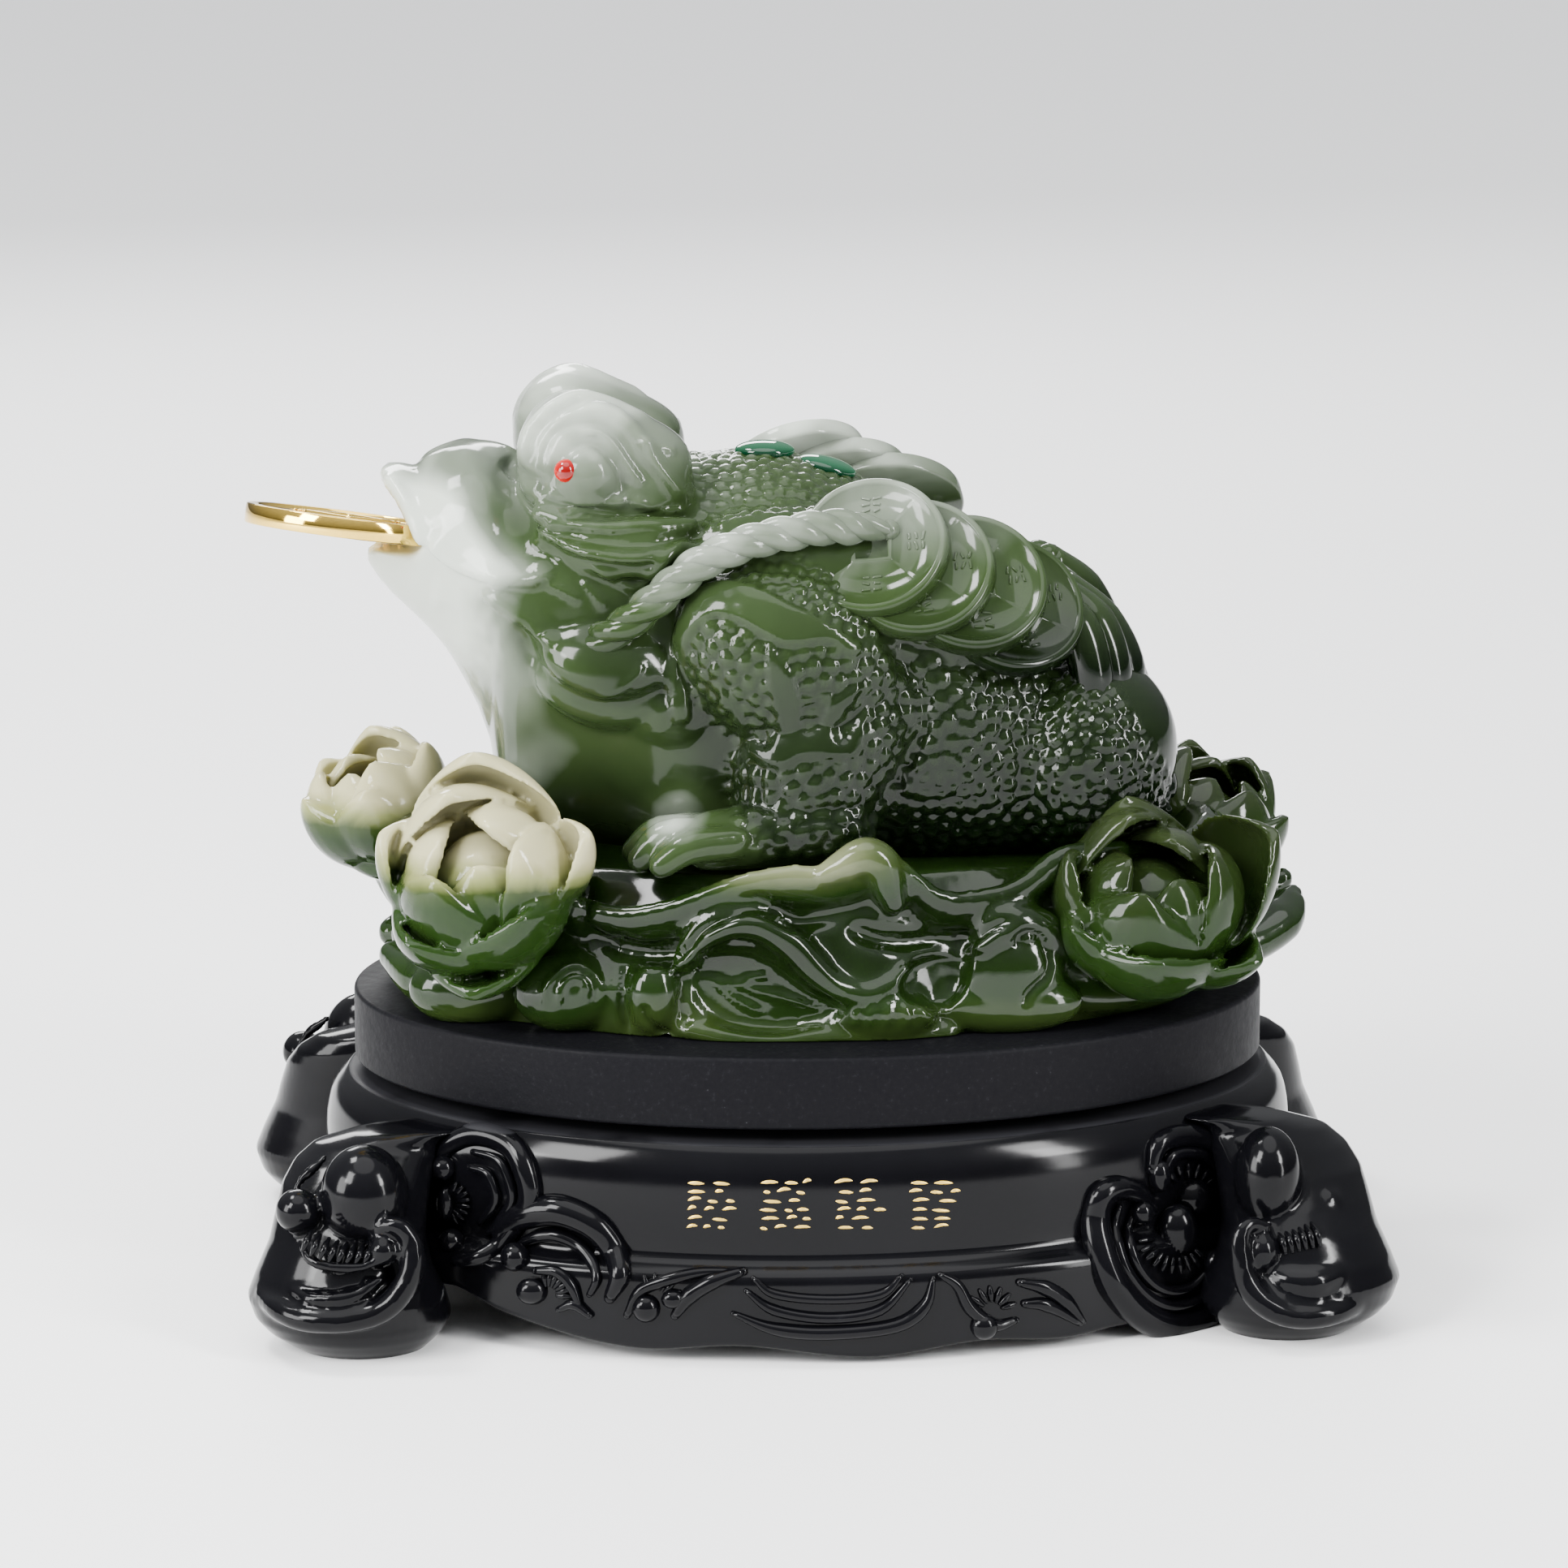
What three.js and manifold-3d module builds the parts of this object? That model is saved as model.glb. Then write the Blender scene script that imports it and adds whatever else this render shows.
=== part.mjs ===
// Money toad figure: a cast jade-look toad on a lotus leaf, with a gold coin in its mouth, glass eyes
// and glass stones on its back, on an oval board that turns on a carved black stand.
// Millimetres, +Z up, X along the toad from snout (-X) to rump (+X), the front panel faces -Y.
// The origin is on the table under the middle of the stand, on the axis that the board turns about.
import * as THREE from 'three';
import Module from 'manifold-3d';
import { mergeVertices } from 'three/addons/utils/BufferGeometryUtils.js';

const wasm = await Module();
wasm.setup();

// Carved stand
const STAND_LENGTH = 284;
const STAND_DEPTH = 182;
const STAND_HEIGHT = 52.6;
const STAND_DECK = 10;
const STAND_WALL = 11;
const DECK_MARGIN = 1.5;
const SCROLL_THICKNESS = 5.2;
const BEAD_RADIUS = 13;

// Turning board and the low round bearing plate under it
const BOARD_LENGTH = 230;
const BOARD_WIDTH = 160;
const BOARD_THICKNESS = 18;
const BOARD_EDGE_ROUND = 0.9;
const TURNING_GAP = 3.4;
const BEARING_DIAMETER = 96;

// Jade figure, coin, eyes and stones
const FIGURE_HEIGHT = 154;
const COIN_DIAMETER = 51;
const COIN_THICKNESS = 5;
const COIN_HOLE = 12;
const COIN_RIM = 2.8;
const COIN_FIELD_DEPTH = 0.9;
const EYE_DIAMETER = 5.8;
const STONE_LENGTH = 15;
const STONE_WIDTH = 12;
const STONE_HEIGHT = 5;
const CLEARANCE = 0.3;

// Heights that follow from the sizes above
const BOARD_BOTTOM = STAND_HEIGHT + TURNING_GAP;
const BOARD_TOP = BOARD_BOTTOM + BOARD_THICKNESS;
const FIGURE_BOTTOM = BOARD_TOP + CLEARANCE;

const V = (x, y, z) => new THREE.Vector3(x, y, z);
const radians = THREE.MathUtils.degToRad;

// Turns a closed geometry into a solid, with its faces pointing out.
function solid(geometry) {
  const bare = geometry.clone();
  bare.deleteAttribute('normal');
  bare.deleteAttribute('uv');
  const merged = mergeVertices(bare, 1e-4);
  const p = merged.attributes.position;
  const corner = [V(0, 0, 0), V(0, 0, 0), V(0, 0, 0)];
  const kept = [];
  let volume = 0;
  for (let i = 0; i < merged.index.count; i += 3) {
    const ids = [0, 1, 2].map((k) => merged.index.getX(i + k));
    if (ids[0] === ids[1] || ids[1] === ids[2] || ids[2] === ids[0]) continue;
    ids.forEach((id, k) => corner[k].fromBufferAttribute(p, id));
    volume += corner[0].dot(corner[1].clone().cross(corner[2]));
    kept.push(...ids);
  }
  if (volume < 0) kept.reverse();
  return new wasm.Manifold(new wasm.Mesh({
    numProp: 3,
    vertProperties: new Float32Array(p.array),
    triVerts: new Uint32Array(kept),
  }));
}

function join(solids) {
  return solids.reduce((all, next) => all.add(next));
}

function meshOf(name, shape, material) {
  const data = shape.getMesh();
  const geometry = new THREE.BufferGeometry();
  geometry.setAttribute('position', new THREE.BufferAttribute(new Float32Array(data.vertProperties), 3));
  geometry.setIndex(new THREE.BufferAttribute(new Uint32Array(data.triVerts), 1));
  geometry.computeVertexNormals();
  const mesh = new THREE.Mesh(geometry, material);
  mesh.name = name;
  return mesh;
}

// A closed skin through rings of points, with a fan to the middle of the first and the last ring.
function loft(rings) {
  const sides = rings[0].length;
  const middle = (ring) => ring.reduce((sum, q) => sum.add(q), V(0, 0, 0)).divideScalar(sides);
  const points = [middle(rings[0]), ...rings.flat(), middle(rings.at(-1))];
  const at = (r, k) => 1 + r * sides + (k % sides);
  const index = [];
  for (let k = 0; k < sides; k += 1) {
    index.push(0, at(0, k + 1), at(0, k));
    index.push(points.length - 1, at(rings.length - 1, k), at(rings.length - 1, k + 1));
    for (let r = 0; r + 1 < rings.length; r += 1) {
      index.push(at(r, k), at(r, k + 1), at(r + 1, k + 1));
      index.push(at(r, k), at(r + 1, k + 1), at(r + 1, k));
    }
  }
  const geometry = new THREE.BufferGeometry().setFromPoints(points);
  geometry.setIndex(index);
  return geometry;
}

// A rounded body: a sphere stretched to three radii, turned by degrees about X, Y and Z, and placed.
function lobe(centre, radii, turn = [0, 0, 0], sides = 12, rows = 8) {
  const geometry = new THREE.SphereGeometry(1, sides, rows);
  geometry.rotateX(Math.PI / 2);
  geometry.scale(...radii);
  const angles = new THREE.Euler(...turn.map(radians));
  geometry.applyMatrix4(new THREE.Matrix4().makeRotationFromEuler(angles));
  return solid(geometry.translate(...centre));
}

// A tapering round bar through points, with the radius given at even steps from end to end.
function bar(points, radii, sides = 8, steps = 3 * points.length, flatten = 1) {
  const curve = new THREE.CatmullRomCurve3(points.map((q) => V(...q)));
  const frames = curve.computeFrenetFrames(steps, false);
  const rings = [];
  for (let i = 0; i <= steps; i += 1) {
    const t = i / steps;
    const place = t * (radii.length - 1);
    const low = Math.min(Math.floor(place), radii.length - 2);
    const r = THREE.MathUtils.lerp(radii[low], radii[low + 1], place - low);
    const centre = curve.getPointAt(t);
    rings.push(Array.from({ length: sides }, (_, k) => {
      const a = (2 * Math.PI * k) / sides;
      return centre.clone()
        .addScaledVector(frames.normals[i], r * Math.cos(a) * flatten)
        .addScaledVector(frames.binormals[i], r * Math.sin(a));
    }));
  }
  return solid(loft(rings));
}

// Reads a value between named stations of a table [[place, value], ...] along a smooth curve.
function along(stations, place) {
  const last = stations.length - 1;
  const inside = THREE.MathUtils.clamp(place, stations[0][0], stations[last][0]);
  let i = 0;
  while (i < last - 1 && inside > stations[i + 1][0]) i += 1;
  const [x0, y0] = stations[i];
  const [x1, y1] = stations[i + 1];
  const before = stations[Math.max(i - 1, 0)];
  const after = stations[Math.min(i + 2, last)];
  const h = x1 - x0;
  const m0 = ((y1 - before[1]) / (x1 - before[0])) * h;
  const m1 = ((after[1] - y0) / (after[0] - x0)) * h;
  const t = (inside - x0) / h;
  const h00 = 2 * t ** 3 - 3 * t ** 2 + 1;
  const h10 = t ** 3 - 2 * t ** 2 + t;
  const h01 = -2 * t ** 3 + 3 * t ** 2;
  const h11 = t ** 3 - t ** 2;
  return h00 * y0 + h10 * m0 + h01 * y1 + h11 * m1;
}

// Carved stand.
// The wall is an oval skirt. Its outline at a height is the deck's oval times a share of growth.
const deckHalfLength = BOARD_LENGTH / 2 + DECK_MARGIN;
const deckHalfWidth = BOARD_WIDTH / 2 + DECK_MARGIN;
const skirtGrowth = STAND_DEPTH / 2 / deckHalfWidth;

const SKIRT_PROFILE = [[0, 1], [0.14, 1], [0.36, 0.92], [0.42, 0.86], [0.48, 0.42], [0.72, 0.45],
  [0.9, 0.32], [1, 0]];

// Height of the skirt's lower edge at an angle from the front middle, in shares of the stand's height.
const SKIRT_EDGE = [[-90, 0.2], [-66, 0.1], [-46, 0.26], [-38, 0.17], [-22, 0.06], [-10, 0.09], [4, 0.03],
  [16, 0.08], [26, 0.05], [34, 0.07], [46, 0.03], [53, 0.1], [66, 0.1], [90, 0.2]];

function standPoint(degreesFromFront, level, lift = 0) {
  const a = radians(degreesFromFront - 90);
  const share = along(SKIRT_PROFILE, level);
  const growth = 1 + (skirtGrowth - 1) * share;
  const x = deckHalfLength * growth * Math.cos(a);
  const y = deckHalfWidth * growth * Math.sin(a);
  const out = V(Math.cos(a) / deckHalfLength, Math.sin(a) / deckHalfWidth, 0).normalize();
  return V(x, y, level * STAND_HEIGHT).addScaledVector(out, lift);
}

// The same carving repeats on the back, turned half round.
function frontAngle(degreesFromFront) {
  return THREE.MathUtils.euclideanModulo(degreesFromFront + 90, 180) - 90;
}

function skirt() {
  const sides = 32;
  const ring = (level) => Array.from({ length: sides }, (_, k) => {
    const degrees = (360 * k) / sides;
    const edge = along(SKIRT_EDGE, frontAngle(degrees));
    return standPoint(degrees, Math.max(level, edge + level * 0.5));
  });
  const outer = [0, 0.42, 0.48, 0.86, 1].map((level) => ring(level));
  const cavityTop = STAND_HEIGHT - STAND_DECK;
  const inner = [-STAND_DECK, cavityTop * 0.6, cavityTop].map((z) => (
    Array.from({ length: sides / 2 }, (_, k) => {
      const a = (4 * Math.PI * k) / sides;
      return V((deckHalfLength - STAND_WALL) * Math.cos(a), (deckHalfWidth - STAND_WALL) * Math.sin(a), z);
    })));
  return solid(loft(outer)).subtract(solid(loft(inner)));
}

// A leg grows out of each corner of the skirt like a shell and stands on a foot that is rounded underneath.
// Its rings have a height, a spread along and a spread across in shares of the stand's height and the foot's
// size. They lean inward along the stand by shares of its reach past the deck, and across it by shares of
// the leg's own lean.
const FOOT_HALF_LENGTH = 25.5;
const FOOT_HALF_WIDTH = 22;
const FOOT_SETBACK = 4;
const LEG_LEAN = 15.3;
const LEG_LEVELS = [[0, 0.62, 0.62, 0.1, 0], [0.13, 0.93, 0.93, 0.02, 0], [0.25, 1, 1, 0, 0],
  [0.5, 0.88, 0.9, 0.1, 0.15], [0.74, 0.84, 0.7, 0.19, 0.55], [0.9, 0.74, 0.44, 0.36, 0.95],
  [0.97, 0.45, 0.42, 0.94, 1]];
const standReach = STAND_LENGTH / 2 - deckHalfLength;

function leg(sideX, sideY) {
  const footX = STAND_LENGTH / 2 - FOOT_HALF_LENGTH;
  const footY = STAND_DEPTH / 2 - FOOT_HALF_WIDTH - FOOT_SETBACK;
  const sides = 9;
  const rings = LEG_LEVELS.map(([level, spreadX, spreadY, inward, lean]) => (
    Array.from({ length: sides }, (_, k) => {
      const a = (2 * Math.PI * (k + 0.5)) / sides;
      const x = footX - inward * standReach - FOOT_HALF_LENGTH * spreadX * Math.cos(a);
      const y = footY - lean * LEG_LEAN + FOOT_HALF_WIDTH * spreadY * Math.sin(a);
      return V(sideX * x, sideY * y, level * STAND_HEIGHT);
    })));
  return solid(loft(rings));
}

// Each leg carries a large bead over a dished lip round the foot. The front legs also have a small bead,
// and their lip ends in a curl.
function legCarving(sideX, sideY) {
  const toe = V(STAND_LENGTH / 2 - FOOT_HALF_LENGTH, STAND_DEPTH / 2 - FOOT_HALF_WIDTH, 0);
  const place = (x, y, level) => [sideX * (toe.x + x), sideY * (toe.y + y), level * STAND_HEIGHT];
  const radii = [BEAD_RADIUS, BEAD_RADIUS * 0.95, BEAD_RADIUS * 1.08];
  const bead = lobe(place(-5, 3, 0.76), radii, [0, 0, 0], 8, 4);
  const lipFront = [place(18, 11, 0.3), place(12, 16, 0.2), place(0, 18.5, 0.17), place(-12, 18, 0.26)];
  if (sideY > 0) return join([bead, bar(lipFront, [3, 4.8, 4.8, 3], 4, 4)]);
  const curled = [place(15, 8, 0.5), ...lipFront, place(-18, 14, 0.46), place(-12, 15, 0.58)];
  const lip = bar(curled, [2.6, 4.6, 4.8, 4.6, 4.4, 4, 3], 4, 7);
  const smallBead = lobe(place(11, -1, 0.66), [7, 7, 7], [0, 0, 0], 6, 3);
  return join([bead, lip, smallBead]);
}

// Scrolls and crescents raised on the skirt. A scroll turns about a centre on the wall.
function scroll(centreDegrees, centreLevel, radius, fromDegrees, toDegrees, thickness, steps = 4) {
  const perDegree = radians(1) * ((deckHalfLength + deckHalfWidth) / 2);
  const points = [];
  for (let i = 0; i <= steps; i += 1) {
    const t = i / steps;
    const a = radians(THREE.MathUtils.lerp(fromDegrees, toDegrees, t));
    const r = radius * (1 - 0.5 * t * t);
    const degrees = centreDegrees + (r * Math.cos(a)) / perDegree;
    const level = centreLevel + (r * Math.sin(a)) / STAND_HEIGHT;
    points.push(standPoint(degrees, level, 0.5).toArray());
  }
  const half = thickness / 2;
  return bar(points, [half * 0.5, half, half * 1.1, half, half * 0.7], 4, steps);
}

function boss(degrees, level, radius) {
  const p = standPoint(degrees, level, 0).toArray();
  return lobe(p, [radius, radius, radius * 1.15], [0, 0, 0], 6, 3);
}

// The front has every scroll. The back, which faces the wall, has the crescent and one pair of scrolls.
function skirtCarving() {
  const w = SCROLL_THICKNESS;
  return join([
    scroll(-48, 0.73, 13, 150, -110, w * 1.4),
    boss(-50, 0.66, 5),
    scroll(-33, 0.36, 15, 165, -50, w * 1.4),
    scroll(50, 0.78, 11.5, 215, -30, w * 1.3),
    boss(51, 0.72, 6.2),
    scroll(46, 0.38, 17, 105, 350, w * 1.5, 6),
    boss(46, 0.44, 7.6),
    scroll(2, 0.5, 27, 205, 335, w * 1.1, 5),
    scroll(-20, 0.24, 9, 200, 330, w * 1.2, 3),
    scroll(24, 0.24, 9, 200, 330, w * 1.2, 3),
    scroll(182, 0.5, 27, 205, 335, w * 1.1),
    scroll(147, 0.4, 15, 165, -50, w * 1.4),
    scroll(217, 0.4, 15, 15, 230, w * 1.4),
  ]);
}

function carvedStand() {
  const corners = [[-1, -1], [1, -1], [-1, 1], [1, 1]];
  const legs = corners.flatMap(([x, y]) => [leg(x, y), legCarving(x, y)]);
  const carved = join([skirt(), skirtCarving(), ...legs]);
  // The carving is planed off level with the deck, and the feet are cut flat where they stand.
  const slab = solid(new THREE.BoxGeometry(STAND_LENGTH, STAND_DEPTH, STAND_HEIGHT)
    .translate(0, 0, STAND_HEIGHT / 2));
  return carved.intersect(slab);
}

// Turning board and bearing.
function turningBoard() {
  const r = BOARD_EDGE_ROUND;
  const rings = [];
  const sides = 32;
  const levels = [[-r, 0], [0, r], [0, BOARD_THICKNESS - r], [-r, BOARD_THICKNESS]];
  levels.forEach(([grow, z]) => {
    rings.push(Array.from({ length: sides }, (_, k) => {
      const a = (2 * Math.PI * k) / sides;
      return V((BOARD_LENGTH / 2 + grow) * Math.cos(a), (BOARD_WIDTH / 2 + grow) * Math.sin(a), z);
    }));
  });
  return solid(loft(rings).translate(0, 0, BOARD_BOTTOM));
}

function turningBearing() {
  const radius = BEARING_DIAMETER / 2;
  const height = TURNING_GAP - 2 * CLEARANCE;
  const plate = new THREE.CylinderGeometry(radius, radius, height, 24);
  return solid(plate.rotateX(Math.PI / 2).translate(0, 0, STAND_HEIGHT + TURNING_GAP / 2));
}

// Jade figure.
// Its pose, proportions and carving are shares of its own height: one unit u is the figure's height over
// the number of units in it. Heights in units count from the figure's flat underside.
const FIGURE_UNITS = 154;
const u = FIGURE_HEIGHT / FIGURE_UNITS;
const scaled = (points) => points.map((q) => q.map((value) => value * u));
const jadeLobe = (centre, radii, turn, sides, rows) => (
  lobe(centre.map((c) => c * u), radii.map((r) => r * u), turn, sides, rows));
const jadeBar = (points, radii, sides, steps, flatten) => (
  bar(scaled(points), radii.map((r) => r * u), sides, steps, flatten));
const mirrored = (q) => [q[0], -q[1], q[2]];

// Trunk: the head, throat, body and rump in one skin, from the snout to the tail.
const TRUNK_TOP = [[-110, 124], [-107, 132], [-103, 133], [-98, 134], [-90, 139], [-83, 139], [-75, 136],
  [-60, 136], [-45, 136], [-28, 134], [-11, 135], [4, 131], [23, 123], [42, 112], [58, 99], [69, 87],
  [78, 71], [86, 58], [91, 49]];
const TRUNK_BOTTOM = [[-110, 108], [-106, 102], [-98, 94], [-91, 86], [-85, 75], [-80, 62], [-76, 36],
  [-60, 33], [60, 33], [91, 38]];
const TRUNK_HALF_WIDTH = [[-110, 6], [-107, 12], [-102, 17], [-96, 22], [-86, 27], [-74, 33], [-58, 38],
  [-40, 40], [-20, 41], [0, 44], [22, 46], [42, 44], [58, 38], [70, 30], [80, 21], [91, 8]];
const TRUNK_STATIONS = [-110, -106, -101, -95, -88, -81, -76, -68, -54, -38, -20, 0, 20, 40, 57, 71, 82,
  91];

function trunk() {
  const sides = 12;
  const rings = TRUNK_STATIONS.map((x) => {
    const top = along(TRUNK_TOP, x);
    const bottom = along(TRUNK_BOTTOM, x);
    const half = along(TRUNK_HALF_WIDTH, x);
    const headShare = THREE.MathUtils.smoothstep(-x, 20, 66);
    const widest = THREE.MathUtils.lerp(0.48, 0.64, headShare);
    const centre = bottom + (top - bottom) * widest;
    return Array.from({ length: sides }, (_, k) => {
      const a = (2 * Math.PI * (k + 0.5)) / sides;
      const c = Math.cos(a);
      const s = Math.sin(a);
      const power = s < 0 ? THREE.MathUtils.lerp(2.9, 1.45, headShare) : 2.1;
      const grow = (Math.abs(c) ** power + Math.abs(s) ** power) ** (-1 / power);
      const reach = s < 0 ? centre - bottom : top - centre;
      return V(x * u, half * c * grow * u, (centre + reach * s * grow) * u);
    });
  });
  return solid(loft(rings));
}

// The mouth is a wedge open to the front between the upper lip and the chin.
const COIN_CENTRE = [-115, 0, 117.5];
const COIN_NOSE_UP = 8;
const COIN_ROLL = -8;
const COIN_SIDES = 20;

function mouthWedge() {
  const outline = new THREE.Shape([[-130, 146], [-108.5, 131], [-103, 126], [-99, 119.5], [-95.5, 115.5],
    [-99, 112.8], [-112, 111.4], [-130, 108]].map(([x, z]) => new THREE.Vector2(x * u, z * u)));
  const wedge = new THREE.ExtrudeGeometry(outline, { depth: 80 * u, bevelEnabled: false });
  return solid(wedge.rotateX(Math.PI / 2).translate(0, 40 * u, 0));
}

const coinPlace = new THREE.Matrix4().makeTranslation(...COIN_CENTRE.map((c) => c * u))
  .multiply(new THREE.Matrix4().makeRotationY(radians(COIN_NOSE_UP)))
  .multiply(new THREE.Matrix4().makeRotationX(radians(COIN_ROLL)));

function coinSlot() {
  const radius = COIN_DIAMETER / 2 + CLEARANCE;
  const slot = new THREE.CylinderGeometry(radius, radius, COIN_THICKNESS + 2 * CLEARANCE, COIN_SIDES);
  return solid(slot.rotateX(Math.PI / 2).applyMatrix4(coinPlace));
}

function goldCoin() {
  const half = COIN_THICKNESS / 2;
  const field = half - COIN_FIELD_DEPTH;
  const radius = COIN_DIAMETER / 2;
  const fieldRadius = radius - COIN_RIM;
  const profile = [[0, -field], [fieldRadius, -field], [fieldRadius, -half], [radius, -half],
    [radius, half], [fieldRadius, half], [fieldRadius, field], [0, field]];
  const disc = new THREE.LatheGeometry(profile.map(([x, y]) => new THREE.Vector2(x, y)), COIN_SIDES);
  const hole = new THREE.BoxGeometry(COIN_HOLE, COIN_HOLE, COIN_THICKNESS * 2).rotateZ(Math.PI / 4);
  const placed = solid(disc.rotateX(Math.PI / 2).applyMatrix4(coinPlace));
  return placed.subtract(solid(hole.applyMatrix4(coinPlace)));
}

// Eyes: a hood like a shell over each side of the head. Its rings run about the eye from the skull out:
// the dome, the arched brow, the groove under it and the round eyeball with its glass bead.
const EYE_PLACE = [-61.5, -32.5, 136];
const HOOD_CENTRE = [-53, 133];
const HOOD_RINGS = [
  { radius: 19, out: 2, forward: 2 },
  { radius: 21.5, out: 13, forward: 1 },
  { radius: 21, out: 24, forward: 0 },
  { radius: 17.5, out: 31, forward: 0 },
  { radius: 14, out: 32, forward: -1 },
  { radius: 11.5, out: 28.5, forward: -2 },
  { radius: 8.5, out: 32, forward: -3 },
  { radius: 4.5, out: 34, forward: -4 },
];

function eyeHood(side) {
  const s = (q) => (side < 0 ? q : mirrored(q));
  const sides = 11;
  const rings = HOOD_RINGS.map(({ radius, out, forward }) => Array.from({ length: sides }, (_, k) => {
    const a = (2 * Math.PI * k) / sides;
    const below = Math.sin(a) < 0 ? 0.8 : 1;
    const x = HOOD_CENTRE[0] + forward + radius * Math.cos(a);
    const z = HOOD_CENTRE[1] + radius * Math.sin(a) * below;
    const lean = 0.12 * (z - HOOD_CENTRE[1]);
    return V(...s([x, -out + lean, z])).multiplyScalar(u);
  }));
  const tail = jadeLobe(s([-38, -22, 130]), [11.5, 9, 15], [0, -35, 0], 8, 5);
  const cheek = jadeBar([[-72, -30, 121], [-60, -37, 113], [-44, -41, 110], [-33, -39, 113]].map(s),
    [2, 3.8, 3.8, 2], 4, 4);
  return join([solid(loft(rings)), tail, cheek]);
}

function eyeShape(side, radius) {
  const place = side < 0 ? EYE_PLACE : mirrored(EYE_PLACE);
  return lobe(place.map((c) => c * u), [radius, radius, radius], [0, 0, 0], 8, 4);
}

// Throat pouches, the twisted rope and the strings of coins on both flanks. A string coin has the place of
// its centre and the degrees that its face turns towards the rear.
const ROPE_ROUTE = [[17, -38, 124], [0, -41, 127], [-16, -43, 124], [-30, -44, 116], [-42, -43, 106],
  [-54, -39, 97], [-66, -29, 90], [-72, -14, 87]];
const STRING_COIN_RADIUS = 18.5;
const STRING_COIN_FLARE = 0.8;
const STRING_COIN_THICKNESS = 5;
const STRING_COIN_TIP = -9;
const STRING_COINS = [[13, -38, 117, -4], [24, -40, 112, 4], [37, -40, 108, 16], [47, -36, 102, 28]];

// The far string is shorter, and lies further forward and higher on the back than the near one.
const FAR_STRING = { coins: 3, forward: -14, inward: 5, up: 8, lean: 42 };
const NEAR_STRING = { coins: 4, forward: 0, inward: 0, up: 0, lean: 50 };

function stringCoin(side, string, [x, y, z, yaw]) {
  const r = STRING_COIN_RADIUS;
  const disc = new THREE.CylinderGeometry(r, r + STRING_COIN_FLARE, STRING_COIN_THICKNESS, 10);
  disc.rotateX(Math.PI / 2);
  disc.rotateY(radians(STRING_COIN_TIP));
  disc.rotateX(radians(string.lean));
  disc.rotateZ(radians(yaw));
  disc.translate(x + string.forward, y + string.inward, z + string.up);
  disc.scale(u, side < 0 ? u : -u, u);
  return solid(disc);
}

function sideStrings(side) {
  const s = (q) => (side < 0 ? q : mirrored(q));
  const string = side < 0 ? NEAR_STRING : FAR_STRING;
  const coins = STRING_COINS.slice(0, string.coins).map((coin) => stringCoin(side, string, coin));
  const ledge = jadeLobe(s([30 + string.forward, -34 + string.inward, 99 + string.up]), [27, 11, 13],
    [0, 16, 0], 7, 4);
  const rope = jadeBar(ROPE_ROUTE.map(s), [3.8, 4.6, 4.8, 4.8, 4.8, 4.6, 4.4, 4.2], 4, 10);
  const tassel = jadeBar([[60, -28, 104], [67, -31, 94], [69, -31, 82], [67, -30, 71]].map(s),
    [5, 8, 7.5, 5.5], 6, 4);
  const pouch = jadeLobe(s([-52, -29, 88]), [21, 13, 14], [0, 10, 0], 8, 5);
  return join([...coins, ledge, rope, tassel, pouch]);
}

// Front legs: a round haunch, a stout forearm and a splayed foot on the leaf.
function frontLeg(side) {
  const s = (q) => (side < 0 ? q : mirrored(q));
  const haunch = jadeLobe(s([-6, -40, 90]), [30, 16, 23], [0, 24, 0], 8, 5);
  const calf = jadeLobe(s([-2, -40, 62]), [21, 15, 26], [0, 14, 0], 8, 5);
  const foot = jadeBar([[2, -46, 47], [-14, -48, 47], [-28, -50, 46.5]].map(s), [11, 9.5, 8], 6, 2);
  const toes = [[-12, 0], [0, 5], [12, 0]].map(([spread, reach]) => (
    jadeBar([[-25, -50 + spread * 0.4, 47], [-35 - reach, -50 + spread * 0.8, 46],
      [-41 - reach, -50 + spread, 43]].map(s), [5, 6, 4], 5, 2)));
  return join([haunch, calf, foot, ...toes]);
}

// Lotus leaf: a thick leaf whose rolled rim rises and dips over curled lower leaves.
const LEAF_HALF_LENGTH = 101;
const LEAF_HALF_WIDTH = 62;
const LEAF_TOP = 40;
const RIM_ROLL = 4.4;

// The rim's height above the board at degrees from the front middle.
const RIM_WAVE = [[-180, 41], [-150, 44], [-120, 38], [-90, 42], [-60, 40], [-38, 37], [-27, 33],
  [-13, 41], [-3, 43], [6, 45], [12, 39], [19, 34], [28, 36], [36, 46], [60, 41], [90, 42], [120, 38],
  [150, 44], [180, 41]];

function leafPoint(degreesFromFront, z, grow) {
  const a = radians(degreesFromFront - 90);
  return [LEAF_HALF_LENGTH * grow * Math.cos(a), LEAF_HALF_WIDTH * grow * Math.sin(a), z];
}

// Below the rim the leaf is folded: its side swells and narrows between the board and the rim.
const LEAF_FOLDS = 11;
const FOLD_DEPTH = 0.055;

function lotusLeaf() {
  const sides = 36;
  const fixedRing = (z, grow, fold = 0) => () => [z, grow, fold];
  const rimRing = (drop, grow, fold = 0) => (rim) => [rim - drop, grow, fold];
  const profile = [fixedRing(0, 0.99, 0.4), fixedRing(12, 1.03, 1), rimRing(2.8 * RIM_ROLL, 0.96, -0.6),
    rimRing(1.1 * RIM_ROLL, 1.04), rimRing(0, 1.0), rimRing(RIM_ROLL, 0.94), fixedRing(LEAF_TOP, 0.84)];
  const rings = profile.map((ringAt) => Array.from({ length: sides }, (_, k) => {
    const degrees = (360 * k) / sides - 180;
    const [z, grow, fold] = ringAt(along(RIM_WAVE, degrees));
    const swell = FOLD_DEPTH * fold * Math.sin(radians(degrees * LEAF_FOLDS) + z / 14);
    return V(...leafPoint(degrees, z, grow + swell)).multiplyScalar(u);
  }));
  return solid(loft(rings));
}

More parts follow.
